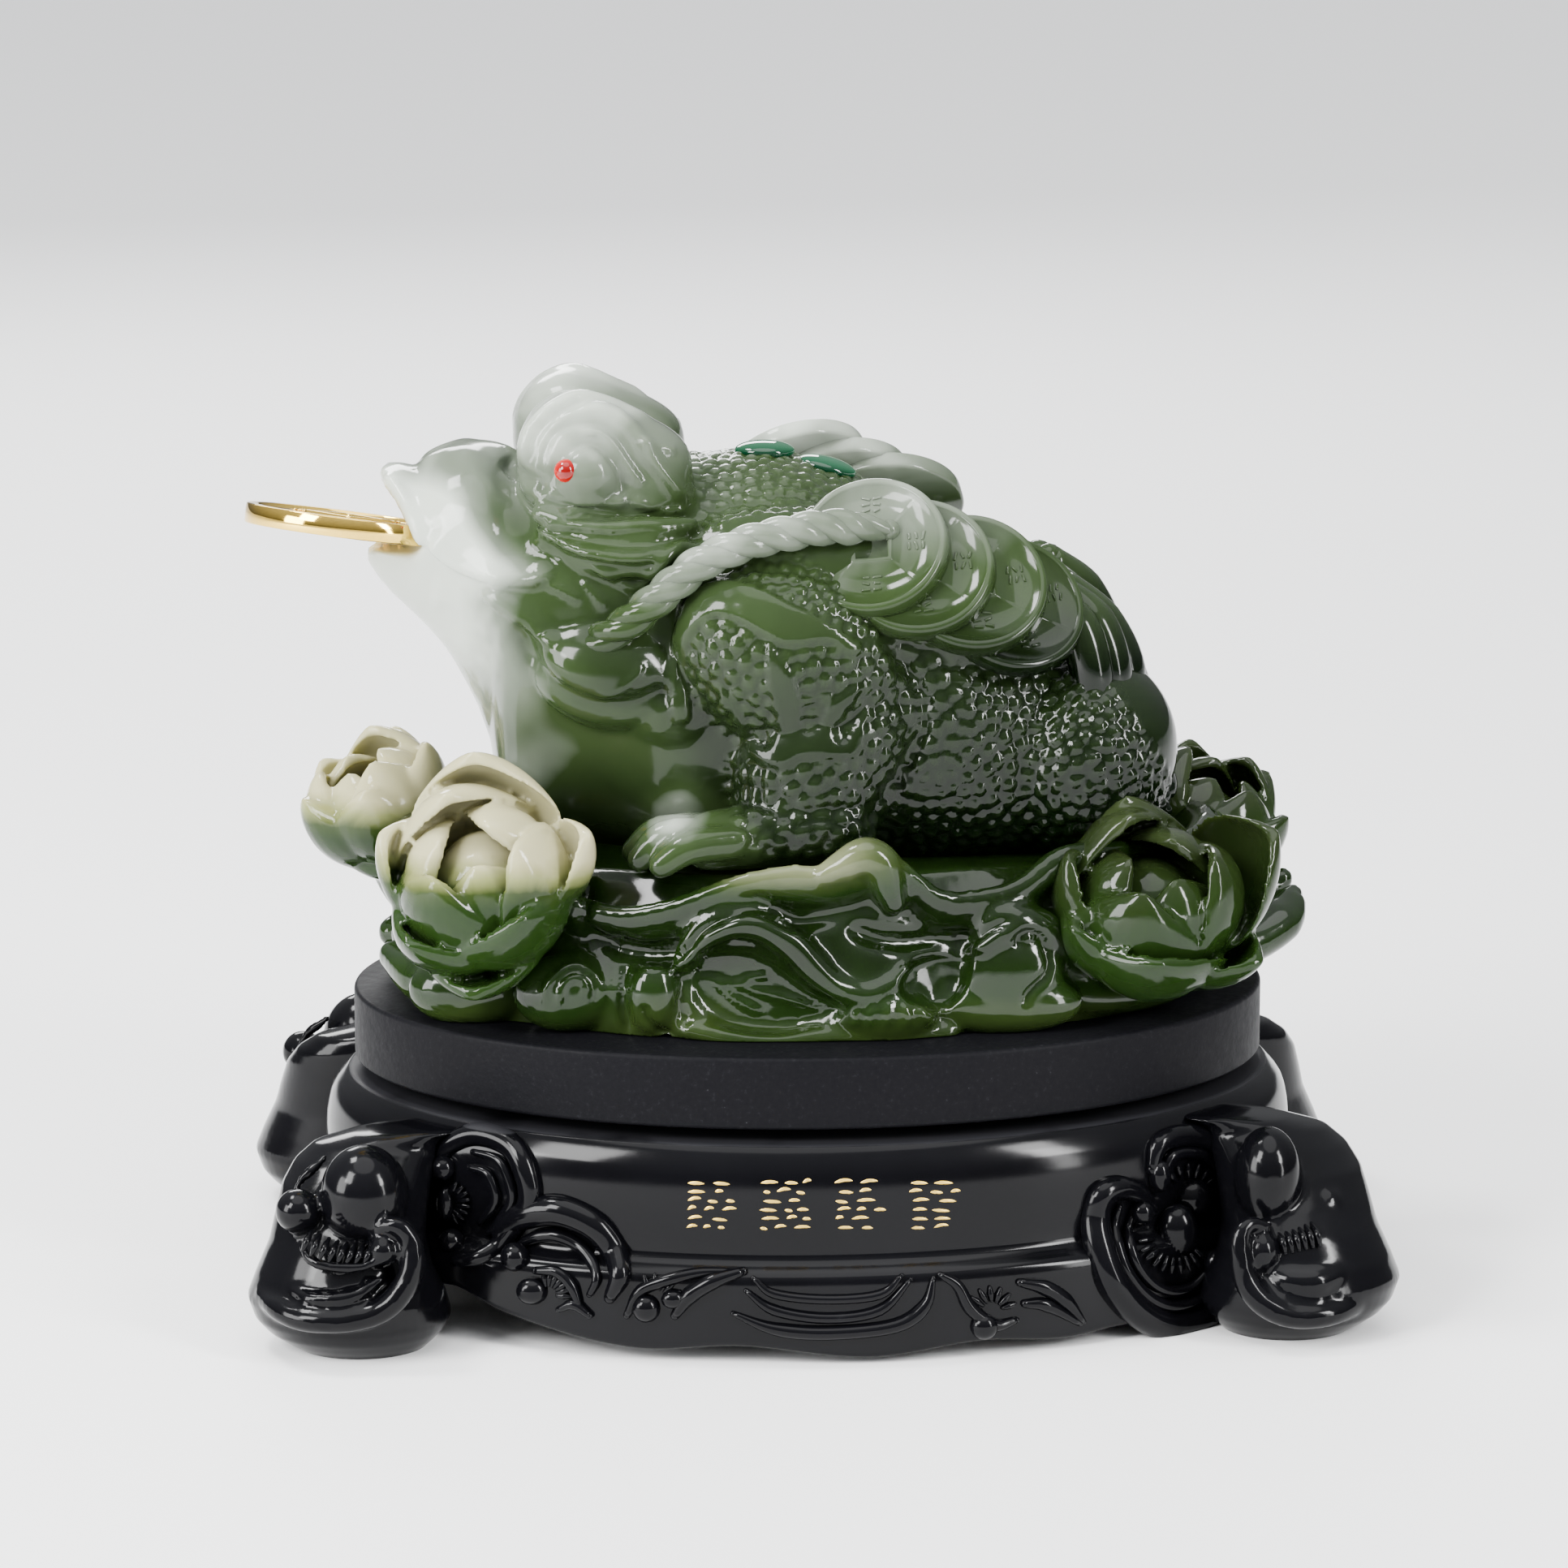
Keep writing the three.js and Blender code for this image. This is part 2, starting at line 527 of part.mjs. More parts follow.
// A flower is one cast rosette: a cup, an outer row of petals, an inner row and a bud, in rings about its
// axis. A ring's radius and height are shares of the flower's, at a petal's middle and at a notch.
const PETALS = 5;
const ROSETTE = [
  { radius: [0.35, 0.35], height: [-0.6, -0.6], turn: 0 },
  { radius: [0.84, 0.74], height: [-0.2, -0.16], turn: 0 },
  { radius: [1.04, 0.8], height: [0.45, 0.16], turn: 0 },
  { radius: [0.66, 0.62], height: [0.16, 0.14], turn: 0 },
  { radius: [0.66, 0.54], height: [0.64, 0.36], turn: 36 },
  { radius: [0.5, 0.42], height: [0.66, 0.38], turn: 36 },
  { radius: [0.26, 0.26], height: [0.36, 0.36], turn: 0 },
];

function flower({ place, lean, bearing, size, perPetal }) {
  const sides = perPetal * PETALS;
  const matrix = new THREE.Matrix4().makeRotationZ(radians(bearing));
  matrix.multiply(new THREE.Matrix4().makeRotationX(radians(lean)));
  matrix.setPosition(...place.map((c) => c * u));
  const rings = ROSETTE.map(({ radius, height, turn }) => Array.from({ length: sides }, (_, k) => {
    const a = (2 * Math.PI * k) / sides;
    const notch = ((1 - Math.cos(PETALS * (a - radians(turn)))) / 2) ** 2;
    const r = THREE.MathUtils.lerp(...radius, notch) * size * u;
    const z = THREE.MathUtils.lerp(...height, notch) * size * u;
    return V(r * Math.cos(a), r * Math.sin(a), z).applyMatrix4(matrix);
  }));
  return solid(loft(rings));
}

function flowers() {
  return join([
    flower({ place: [-84, -44, 34], lean: 42, bearing: -16, size: 29, perPetal: 4 }),
    flower({ place: [-105, 32, 36], lean: 26, bearing: -80, size: 23, perPetal: 3 }),
    flower({ place: [84, -39, 31], lean: 42, bearing: 16, size: 30, perPetal: 4 }),
    flower({ place: [100, 28, 24], lean: 24, bearing: 80, size: 25, perPetal: 3 }),
  ]);
}

// Glass stones lie along the spine, each in a seat cut to its own size.
const STONE_PLACES = [[-11, 0, 1], [4.5, -0.5, 15], [22, -0.5, 24]];

function stoneShape([x, y, slope], grow) {
  const z = along(TRUNK_TOP, x);
  const radii = [STONE_LENGTH / 2 + grow, STONE_WIDTH / 2 + grow, STONE_HEIGHT / 2 + grow];
  return lobe([x * u, y * u, z * u], radii, [0, slope, 0], 8, 4);
}

function jadeToad() {
  const body = join([
    trunk(), eyeHood(-1), eyeHood(1), sideStrings(-1), sideStrings(1), frontLeg(-1), frontLeg(1),
  ]);
  const seats = join([
    coinSlot(),
    eyeShape(-1, EYE_DIAMETER / 2 + CLEARANCE),
    eyeShape(1, EYE_DIAMETER / 2 + CLEARANCE),
    ...STONE_PLACES.map((place) => stoneShape(place, CLEARANCE)),
  ]);
  const whole = join([body.subtract(mouthWedge()), lotusLeaf(), flowers()]).subtract(seats);
  // The underside is cut flat where it stands on the board.
  const above = solid(new THREE.BoxGeometry(600 * u, 400 * u, 400 * u).translate(0, 0, 200 * u));
  return whole.intersect(above);
}

const finish = (color, roughness, metalness = 0) => (
  new THREE.MeshStandardMaterial({ color, roughness, metalness }));
const blackLacquer = finish(0x0b0b0d, 0.18);
const blackBoard = finish(0x1c1d21, 0.6);
const steel = finish(0x8f9296, 0.4, 1);
const jade = finish(0x4d6b3a, 0.15);
const gold = finish(0xe3bd5a, 0.12, 1);
const redGlass = finish(0xc01818, 0.1);
const greenGlass = finish(0x0a6b38, 0.08);

const group = new THREE.Group();
group.add(meshOf('carved_stand', carvedStand(), blackLacquer));
group.add(meshOf('turning_bearing', turningBearing(), steel));
group.add(meshOf('turning_board', turningBoard(), blackBoard));

const figure = new THREE.Group();
figure.position.z = FIGURE_BOTTOM;
figure.add(meshOf('jade_toad', jadeToad(), jade));
figure.add(meshOf('gold_coin', goldCoin(), gold));
figure.add(meshOf('eye_near', eyeShape(-1, EYE_DIAMETER / 2), redGlass));
figure.add(meshOf('eye_far', eyeShape(1, EYE_DIAMETER / 2), redGlass));
STONE_PLACES.forEach((place, k) => {
  figure.add(meshOf(`back_stone_${k + 1}`, stoneShape(place, 0), greenGlass));
});
group.add(figure);

export default group;
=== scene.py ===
"""Money toad figure: a jade-look toad on a lotus leaf, on an oval board that turns on a carved stand."""
import math
import random

import bmesh
import bpy
import numpy as np
from mathutils import Euler, Matrix, Vector, kdtree


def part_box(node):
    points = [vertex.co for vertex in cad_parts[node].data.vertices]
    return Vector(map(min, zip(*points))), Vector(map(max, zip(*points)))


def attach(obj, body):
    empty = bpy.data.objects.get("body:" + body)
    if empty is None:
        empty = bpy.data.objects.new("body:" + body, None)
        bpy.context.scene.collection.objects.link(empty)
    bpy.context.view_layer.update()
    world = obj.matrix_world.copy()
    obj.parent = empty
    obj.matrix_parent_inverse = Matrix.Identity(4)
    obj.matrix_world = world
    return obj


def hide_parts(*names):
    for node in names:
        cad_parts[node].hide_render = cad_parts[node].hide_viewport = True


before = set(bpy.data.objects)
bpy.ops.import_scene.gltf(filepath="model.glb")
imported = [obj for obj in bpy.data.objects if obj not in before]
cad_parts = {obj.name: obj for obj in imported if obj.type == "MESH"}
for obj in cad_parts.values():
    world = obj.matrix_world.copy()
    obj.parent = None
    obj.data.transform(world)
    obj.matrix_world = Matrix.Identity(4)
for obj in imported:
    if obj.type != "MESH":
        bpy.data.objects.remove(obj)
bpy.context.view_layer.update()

bl_info = {
    "name": "Money Toad Figure",
    "version": (1, 0, 0),
    "blender": (4, 5, 0),
    "location": "View3D > Sidebar > Toad",
    "description": "Models the toad, its leaf, flowers, coins and carved stand around the fixed frame",
    "category": "Object",
}

# Forms are made in millimetres in the frame's own axes, and become metres when a piece is finished.
TO_METRES = 0.001


def node_box(node):
    """A node's lowest and highest corners in millimetres."""
    low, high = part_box(node)
    return low / TO_METRES, high / TO_METRES


BOARD_LOW, BOARD_HIGH = node_box("turning_board")
STAND_LOW, STAND_HIGH = node_box("carved_stand")
FIGURE_Z = node_box("jade_toad")[0].z
BOARD_HALF = (BOARD_HIGH - BOARD_LOW) / 2
STAND_HEIGHT = STAND_HIGH.z
STAND_HALF = (STAND_HIGH - STAND_LOW) / 2

# The photograph's camera, in millimetres, and its square frame in pixels
CAMERA_PLACE = Vector((-108.055, -1545.263, 474.608))
CAMERA_AIM = Vector((-6.162, 0.431, 123.923))
CAMERA_LENS = 144.7
CAMERA_SENSOR = 36.0
PHOTO_SIDE = 1932
MM_PER_PIXEL = 0.206


class FigureSettings(bpy.types.PropertyGroup):
    """Sizes that a user would change."""
    body_grain: bpy.props.FloatProperty(
        name="Body Grain", description="Size of one facet of the toad's skin", default=0.99,
        min=0.6, max=4.0)
    leaf_grain: bpy.props.FloatProperty(
        name="Leaf Grain", description="Size of one facet of the leaf", default=1.0, min=0.6, max=4.0)
    wart_height: bpy.props.FloatProperty(
        name="Wart Height", description="How far a wart stands out, in millimetres", default=0.9,
        min=0.0, max=2.0)
    coin_relief: bpy.props.FloatProperty(
        name="Coin Relief", description="How far a coin's marks stand out, in millimetres", default=0.45,
        min=0.0, max=1.0)


class FinishSettings(bpy.types.PropertyGroup):
    """Colours that a user would change."""
    pale_jade: bpy.props.FloatVectorProperty(
        name="Pale Jade", description="The head's milky tone", subtype="COLOR", default=(0.44, 0.48, 0.42))
    mid_jade: bpy.props.FloatVectorProperty(
        name="Middle Jade", description="The shoulder's olive tone", subtype="COLOR",
        default=(0.021, 0.037, 0.0115))
    deep_jade: bpy.props.FloatVectorProperty(
        name="Deep Jade", description="The rump's dark tone", subtype="COLOR",
        default=(0.0012, 0.0036, 0.0008))
    leaf_green: bpy.props.FloatVectorProperty(
        name="Leaf Green", description="The leaf's deep tone", subtype="COLOR", default=(0.01, 0.025, 0.004))
    cream: bpy.props.FloatVectorProperty(
        name="Cream", description="The pale flowers' tone", subtype="COLOR", default=(0.38, 0.36, 0.21))
    lacquer: bpy.props.FloatVectorProperty(
        name="Lacquer", description="The stand's black", subtype="COLOR", default=(0.0015, 0.0015, 0.002))
    gold: bpy.props.FloatVectorProperty(
        name="Gold", description="The loose coin's gold", subtype="COLOR", default=(0.92, 0.62, 0.13))


# Curves, rings and bars

def angles(count, offset=0.0):
    """Even angles round a circle in radians. The first is so much of a step on."""
    return [math.tau * (k + offset) / count for k in range(count)]


def oval(half_length, half_width, z, turns):
    """A level oval with a point at each of the angles."""
    return [(half_length * math.cos(a), half_width * math.sin(a), z) for a in turns]


def smoothstep(low, high, value):
    """0 below the low end, 1 above the high one, and an even swing between."""
    t = min(max((value - low) / (high - low), 0), 1)
    return t * t * (3 - 2 * t)


def spline(points, steps):
    """Points along a smooth curve through the given ones, with so many steps between neighbours."""
    anchors = [Vector(p) for p in points]
    anchors = [2 * anchors[0] - anchors[1], *anchors, 2 * anchors[-1] - anchors[-2]]
    found = []
    for before, start, end, after in zip(anchors, anchors[1:], anchors[2:], anchors[3:]):
        for k in range(steps):
            t = k / steps
            found.append(0.5 * (2 * start + (end - before) * t
                                + (2 * before - 5 * start + 4 * end - after) * t * t
                                + (3 * start - before - 3 * end + after) * t ** 3))
    found.append(anchors[-2])
    return found


def along(stations, place):
    """A value read between stations (place, value) along a smooth curve."""
    last = len(stations) - 1
    inside = min(max(place, stations[0][0]), stations[last][0])
    i = 0
    while i < last - 1 and inside > stations[i + 1][0]:
        i += 1
    (x0, y0), (x1, y1) = stations[i], stations[i + 1]
    before, after = stations[max(i - 1, 0)], stations[min(i + 2, last)]
    width = x1 - x0
    m0 = (y1 - before[1]) / (x1 - before[0]) * width
    m1 = (after[1] - y0) / (after[0] - x0) * width
    t = (inside - x0) / width
    return ((2 * t ** 3 - 3 * t ** 2 + 1) * y0 + (t ** 3 - 2 * t ** 2 + t) * m0
            + (-2 * t ** 3 + 3 * t ** 2) * y1 + (t ** 3 - t ** 2) * m1)


def ring(bm, points):
    """A closed loop of edges through the points."""
    made = bmesh.ops.create_circle(bm, cap_ends=False, segments=len(points), radius=1.0)
    for vert, point in zip(made["verts"], points):
        vert.co = point
    return made["verts"]


def loop_edges(verts):
    """The edges between a loop's points."""
    return {edge for vert in verts for edge in vert.link_edges}


def add_part(bm, part):
    """Adds a small bmesh to a large one, and frees it."""
    mesh = bpy.data.meshes.new("part")
    part.to_mesh(mesh)
    part.free()
    bm.from_mesh(mesh)
    bpy.data.meshes.remove(mesh)


def loft(bm, rings, endless=False):
    """A skin through rings of points, closed at both ends or joined from the last ring to the first."""
    part = bmesh.new()
    loops = [ring(part, points) for points in rings]
    rims = [loop_edges(verts) for verts in loops]
    pairs = list(zip(rims, rims[1:]))
    if endless:
        pairs.append((rims[-1], rims[0]))
    for lower, upper in pairs:
        bmesh.ops.bridge_loops(part, edges=list(lower | upper))
    if not endless:
        for rim in (rims[0], rims[-1]):
            bmesh.ops.contextual_create(part, geom=list(rim))
    add_part(bm, part)


def frames_along(path):
    """A pair of cross directions at each point of a path, without twist."""
    tangents = [(b - a).normalized() for a, b in zip(path, path[1:])]
    tangents = [tangents[0], *[(a + b).normalized() for a, b in zip(tangents, tangents[1:])], tangents[-1]]
    helper = Vector((0, 0, 1)) if abs(tangents[0].z) < 0.9 else Vector((1, 0, 0))
    across = helper.cross(tangents[0]).normalized()
    pairs = []
    for tangent in tangents:
        across = (across - tangent * across.dot(tangent)).normalized()
        pairs.append((across, tangent.cross(across)))
    return pairs


def round_ring(centre, across, up, radius, sides, flat=1.0):
    """A circle about a centre, widened along its first cross direction by the flat share."""
    return [centre + across * (radius * flat * math.cos(a)) + up * (radius * math.sin(a))
            for a in angles(sides)]


def bar(bm, points, radii, sides=16, steps=6, flat=1.0):
    """A tapering round bar through points, its radii given at even steps from end to end."""
    path = spline(points, steps)
    rings = []
    last = len(path) - 1
    for i, (centre, (across, up)) in enumerate(zip(path, frames_along(path))):
        place = i / last * (len(radii) - 1)
        low = min(int(place), len(radii) - 2)
        radius = radii[low] + (radii[low + 1] - radii[low]) * (place - low)
        rings.append(round_ring(centre, across, up, radius, sides, flat))
    loft(bm, rings)
    for centre, radius in ((path[0], radii[0]), (path[-1], radii[-1])):
        ball(bm, centre, (radius * min(flat, 1.0),) * 3, level=2)


def ball(bm, centre, radii, turn=(0, 0, 0), level=3):
    """A rounded body with three radii, turned by degrees about X, Y and Z."""
    matrix = (Matrix.Translation(centre) @ Euler([math.radians(a) for a in turn]).to_matrix().to_4x4()
              @ Matrix.Diagonal((*radii, 1)))
    part = bmesh.new()
    bmesh.ops.create_icosphere(part, subdivisions=level, radius=1.0, matrix=matrix)
    add_part(bm, part)


def bar_pair(bm, points, radii, sides):
    """A bar and its like on the other side."""
    for side in (1, -1):
        bar(bm, [(x, y * side, z) for x, y, z in points], radii, sides=sides)


def ball_pair(bm, point, radii, level=3):
    """A ball and its like on the other side."""
    x, y, z = point
    for side in (1, -1):
        ball(bm, (x, y * side, z), radii, level=level)


# Pieces

def link(name, mesh):
    """A new object of a mesh in the scene."""
    piece = bpy.data.objects.new(name, mesh)
    bpy.context.scene.collection.objects.link(piece)
    return piece


def evaluated_mesh(piece, name):
    """The piece's mesh with its modifiers applied. The piece itself is removed."""
    graph = bpy.context.evaluated_depsgraph_get()
    mesh = bpy.data.meshes.new_from_object(piece.evaluated_get(graph), depsgraph=graph)
    mesh.name = name
    old = piece.data
    bpy.data.objects.remove(piece)
    bpy.data.meshes.remove(old)
    return mesh


def plain_mesh(name, bm, lift=0.0):
    """The mesh of a bmesh lifted by so many millimetres, its faces turned outward. The bmesh is freed."""
    bmesh.ops.translate(bm, verts=bm.verts, vec=(0, 0, lift))
    bmesh.ops.recalc_face_normals(bm, faces=bm.faces)
    mesh = bpy.data.meshes.new(name)
    bm.to_mesh(mesh)
    bm.free()
    return mesh


def skin(name, bm, grain, rounds, lift=0.0):
    """One even skin over the joined forms of a bmesh, softened by so many rounds of smoothing."""
    rough = name + "_rough"
    piece = link(rough, plain_mesh(rough, bm, lift))
    remesh = piece.modifiers.new("Skin", "REMESH")
    remesh.mode = "VOXEL"
    remesh.voxel_size = grain
    smooth = piece.modifiers.new("Soften", "SMOOTH")
    smooth.factor = 0.5
    smooth.iterations = rounds
    return evaluated_mesh(piece, name)


def cut_below(mesh, height):
    """Takes everything below a height off a mesh and closes the cut flat."""
    bm = bmesh.new()
    bm.from_mesh(mesh)
    cut = bmesh.ops.bisect_plane(bm, geom=[*bm.verts, *bm.edges, *bm.faces], plane_co=(0, 0, height),
                                 plane_no=(0, 0, 1), clear_inner=True)
    rims = [item for item in cut["geom_cut"] if isinstance(item, bmesh.types.BMEdge)]
    bmesh.ops.holes_fill(bm, edges=rims, sides=0)
    bmesh.ops.recalc_face_normals(bm, faces=bm.faces)
    bm.to_mesh(mesh)
    bm.free()


def store(mesh, name, values):
    """Keeps a value for every point of a mesh, for its material to read."""
    attribute = mesh.attributes.new(name, "FLOAT", "POINT")
    attribute.data.foreach_set("value", np.array(values, np.float32))


def deepen_downwards(mesh, high, low, amount):
    """Gives a mesh a tint that grows from one height down to another, in millimetres."""
    store(mesh, "tint", [amount * smoothstep(high, low, vertex.co.z) for vertex in mesh.vertices])


def finish_piece(name, mesh, material, body, replaced):
    """Turns a mesh in millimetres into a finished piece that rides on its body."""
    mesh.transform(Matrix.Scale(TO_METRES, 4))
    mesh.polygons.foreach_set("use_smooth", np.ones(len(mesh.polygons), bool))
    mesh.materials.clear()
    mesh.materials.append(material)
    mesh.update()
    piece = link(name, mesh)
    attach(piece, body)
    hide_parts(*replaced)


# Carving by what the photograph shows

def camera_axes():
    """The camera's directions to the right, up and ahead."""
    ahead = (CAMERA_AIM - CAMERA_PLACE).normalized()
    right = ahead.cross(Vector((0, 0, 1))).normalized()
    return np.array(right), np.array(right.cross(ahead)), np.array(ahead)


RIGHT, UP, AHEAD = camera_axes()
PIXEL_SCALE = CAMERA_LENS / CAMERA_SENSOR * PHOTO_SIDE


def photo_places(points):
    """The photograph's pixels where points in millimetres are seen."""
    away = points - np.array(CAMERA_PLACE)
    depth = away @ AHEAD
    return np.stack([PHOTO_SIDE / 2 + PIXEL_SCALE * (away @ RIGHT) / depth,
                     PHOTO_SIDE / 2 - PIXEL_SCALE * (away @ UP) / depth], 1)


def camera_ray(pixel):
    """The direction in which a pixel of the photograph looks."""
    across, rise = pixel[0] - PHOTO_SIDE / 2, PHOTO_SIDE / 2 - pixel[1]
    return Vector(AHEAD + RIGHT * across / PIXEL_SCALE + UP * rise / PIXEL_SCALE)


def at_depth(pixel, y):
    """The point at a depth y that a pixel shows."""
    ray = camera_ray(pixel)
    return CAMERA_PLACE + ray * ((y - CAMERA_PLACE.y) / ray.y)


def on_oval(pixel, half_length, half_width, lift=0.0):
    """The point of an upright oval wall that a pixel shows, lifted off the wall."""
    ray = camera_ray(pixel)
    squares = half_length ** 2, half_width ** 2
    a = ray.x ** 2 / squares[0] + ray.y ** 2 / squares[1]
    b = 2 * (CAMERA_PLACE.x * ray.x / squares[0] + CAMERA_PLACE.y * ray.y / squares[1])
    c = CAMERA_PLACE.x ** 2 / squares[0] + CAMERA_PLACE.y ** 2 / squares[1] - 1
    point = CAMERA_PLACE + ray * ((-b - math.sqrt(max(b * b - 4 * a * c, 0))) / (2 * a))
    out = Vector((point.x / squares[0], point.y / squares[1], 0)).normalized()
    return point + out * lift


def path_distance(places, path):
    """Each place's distance to a path, the side it lies on and how far along the path it is."""
    best = np.full(len(places), 1e9)
    side = np.zeros(len(places))
    share = np.zeros(len(places))
    for k, (a, b) in enumerate(zip(path, path[1:])):
        edge = b - a
        t = np.clip((places - a) @ edge / max(edge @ edge, 1e-9), 0, 1)
        offset = places - (a + t[:, None] * edge)
        distance = np.hypot(*offset.T)
        nearer = distance < best
        best = np.where(nearer, distance, best)
        cross = edge[0] * offset[:, 1] - edge[1] * offset[:, 0]
        side = np.where(nearer, -np.sign(cross), side)
        share = np.where(nearer, (k + t) / (len(path) - 1), share)
    return best, side, share


def inside_outline(places, outline):
    """True for the places inside a closed outline."""
    inside = np.zeros(len(places), bool)
    x, y = places.T
    for (ax, ay), (bx, by) in zip(outline, np.roll(outline, -1, axis=0)):
        crosses = (ay > y) != (by > y)
        inside ^= crosses & (x < (bx - ax) * (y - ay) / (by - ay + 1e-12) + ax)
    return inside


def pixel_curve(pixels, steps):
    """A smooth curve through pixels of the photograph."""
    return np.array([p[:2] for p in spline([(*p, 0) for p in pixels], steps)])


# How squarely a point of the skin has to face the camera to be carved in full, as a cosine
FULL_FACING = 0.3
# Warts: the weight from which the skin gets them, the shares of their spacing that each keeps free and that
# its dome fills, and how many times they are moved to even places
WART_GROUND = 0.3
WART_FREE = 0.82
WART_DOME = 0.62
WART_ROUNDS = 3


class Clay:
    """A mesh whose points are pushed along their normals. The far side gets the near side's carving."""

    def __init__(self, mesh):
        self.mesh = mesh
        self.relief = np.zeros(len(mesh.vertices))
        self.tint = np.zeros(len(mesh.vertices))
        self.read()

    def vectors(self, name):
        """One of the mesh's own vectors at every point, such as its place."""
        flat = np.empty(len(self.mesh.vertices) * 3, np.float32)
        self.mesh.vertices.foreach_get(name, flat)
        return flat.reshape(-1, 3).astype(float)

    def read(self):
        """Reads the points, and finds the pixel that shows each one or its like on the near side."""
        self.points = self.vectors("co")
        self.normals = self.vectors("normal")
        turn = np.ones_like(self.points)
        turn[self.points[:, 1] > 0, 1] = -1
        self.near_points = self.points * turn
        self.places = photo_places(self.near_points)
        toward = np.array(CAMERA_PLACE) - self.near_points
        toward /= np.linalg.norm(toward, axis=1)[:, None]
        self.facing = np.clip(((self.normals * turn) * toward).sum(1) / FULL_FACING, 0, 1)

    def push(self, amount, mark=0.0):
        """Moves every point along its normal, and adds a share of the move to the relief."""
        self.points += self.normals * amount[:, None]
        self.relief += mark * amount
        self.mesh.vertices.foreach_set("co", self.points.astype(np.float32).ravel())
        self.mesh.update()
        self.read()

    def line(self, pixels, width, height, sharp=1.0, fade=0.12, mark=0.0):
        """A ridge, or a groove if the height is negative. A sharp of less than 1 narrows its right side."""
        distance, side, share = path_distance(self.places, pixel_curve(pixels, 6))
        distance *= MM_PER_PIXEL
        widths = np.where(side > 0, width, width * sharp)
        ends = np.clip(np.minimum(share, 1 - share) / fade, 0.05, 1)
        self.push(height * np.exp(-(distance / widths) ** 2) * ends * self.facing, mark)

    def outline_weight(self, pixels, soft):
        """1 inside an outline and 0 outside, with a border that is soft by so many millimetres."""
        outline = pixel_curve((*pixels, pixels[0]), 4)
        distance = path_distance(self.places, outline)[0] * MM_PER_PIXEL
        signed = np.where(inside_outline(self.places, outline[:-1]), distance, -distance)
        t = np.clip(signed / soft + 0.5, 0, 1)
        return t * t * (3 - 2 * t)

    def area(self, pixels, height, soft):
        """A raised patch, or a sunken one."""
        self.push(height * self.outline_weight(pixels, soft) * (self.facing > 0))

    def sites(self, chosen, spacing, seed):
        """Even places for warts among the chosen points of the skin."""
        order = chosen.copy()
        np.random.default_rng(seed).shuffle(order)
        tree = kdtree.KDTree(len(chosen))
        for i in chosen:
            tree.insert(self.points[i], int(i))
        tree.balance()
        taken = np.zeros(len(self.points), bool)
        found = []
        for i in order:
            if not taken[i]:
                found.append(self.points[i].copy())
                for _, j, _ in tree.find_range(self.points[i], spacing * WART_FREE):
                    taken[j] = True
        found = np.array(found)
        for _ in range(WART_ROUNDS):
            nearest = self.nearest_sites(found, chosen)[0]
            total = np.zeros_like(found)
            count = np.zeros(len(found))
            np.add.at(total, nearest, self.points[chosen])
            np.add.at(count, nearest, 1)
            found = np.where(count[:, None] > 0, total / np.maximum(count, 1)[:, None], found)
        return found

    def nearest_sites(self, sites, chosen):
        """Each chosen point's nearest site, with its distances to the two nearest."""
        tree = kdtree.KDTree(len(sites))
        for k, site in enumerate(sites):
            tree.insert(site, k)
        tree.balance()
        found = [tree.find_n(self.points[i], 2) for i in chosen]
        return (np.array([f[0][1] for f in found]), np.array([f[0][2] for f in found]),
                np.array([f[1][2] for f in found]))

    def warts(self, weight, spacing, height, seed, drop=None, valley=0.35):
        """Round warts, or with a drop direction scales that rise along it and end in a point."""
        chosen = np.flatnonzero(weight > WART_GROUND)
        sites = self.sites(chosen, spacing, seed)
        nearest, first, second = self.nearest_sites(sites, chosen)
        border = np.clip((second - first) / (spacing * valley * 2), 0, 1)
        dome = np.sqrt(np.clip(1 - (first / (spacing * WART_DOME)) ** 2, 0, 1)) * (border * (2 - border))
        if drop is not None:
            middles = sites[nearest]
            middles[self.points[chosen, 1] > 0, 1] *= -1
            rise = np.clip(0.5 + (self.near_points[chosen] - middles) @ np.array(drop) / spacing, 0, 1)
            dome *= 0.3 + rise
        amount = np.zeros(len(self.points))
        random_size = np.random.default_rng(seed + 1).uniform(0.75, 1.1, len(sites))
        amount[chosen] = (dome * random_size[nearest] - 0.35) * weight[chosen]
        # Painted shade and highlight: the relief makes the colour deeper between the warts and paler on their
        # tops
        self.relief[chosen] += (dome - 0.4) * weight[chosen]
        self.push(height * amount)

    def shade(self, pixels, amount, soft):
        """Deepens a patch's tone, or makes it paler if the amount is negative. It serves both the jade's own
        tone and painted highlights and shade.
        """
        self.tint += amount * self.outline_weight(pixels, soft)

    def done(self):
        """Stores the relief and the tint, which the jade's colour reads for its tone and for painted shade
        and highlights, and gives the mesh back.
        """
        store(self.mesh, "relief", np.clip(0.5 + 0.5 * self.relief, 0, 1))
        store(self.mesh, "tint", self.tint)
        return self.mesh


# Materials

def node(tree, kind, inputs=None, **values):
    """A new node with its properties set. An input gets a plain value or a link to another node's output."""
    made = tree.nodes.new(kind)
    for key, value in values.items():
        setattr(made, key, value)
    for key, value in (inputs or {}).items():
        if isinstance(value, bpy.types.NodeSocket):
            tree.links.new(value, made.inputs[key])
        else:
            made.inputs[key].default_value = value
    return made


def reckon(tree, operation, first, second):
    """What a piece of arithmetic makes of two numbers."""
    return node(tree, "ShaderNodeMath", {0: first, 1: second}, operation=operation).outputs[0]


def carried(tree, value, before=(0.0, 1.0), after=(0.0, 1.0), clamp=True):
    """A value carried over from one range to another."""
    return node(tree, "ShaderNodeMapRange", {"Value": value, "From Min": before[0], "From Max": before[1],
                                             "To Min": after[0], "To Max": after[1]}, clamp=clamp).outputs[0]


def own_place(tree):
    """A piece's own coordinates."""
    return node(tree, "ShaderNodeTexCoord").outputs["Object"]


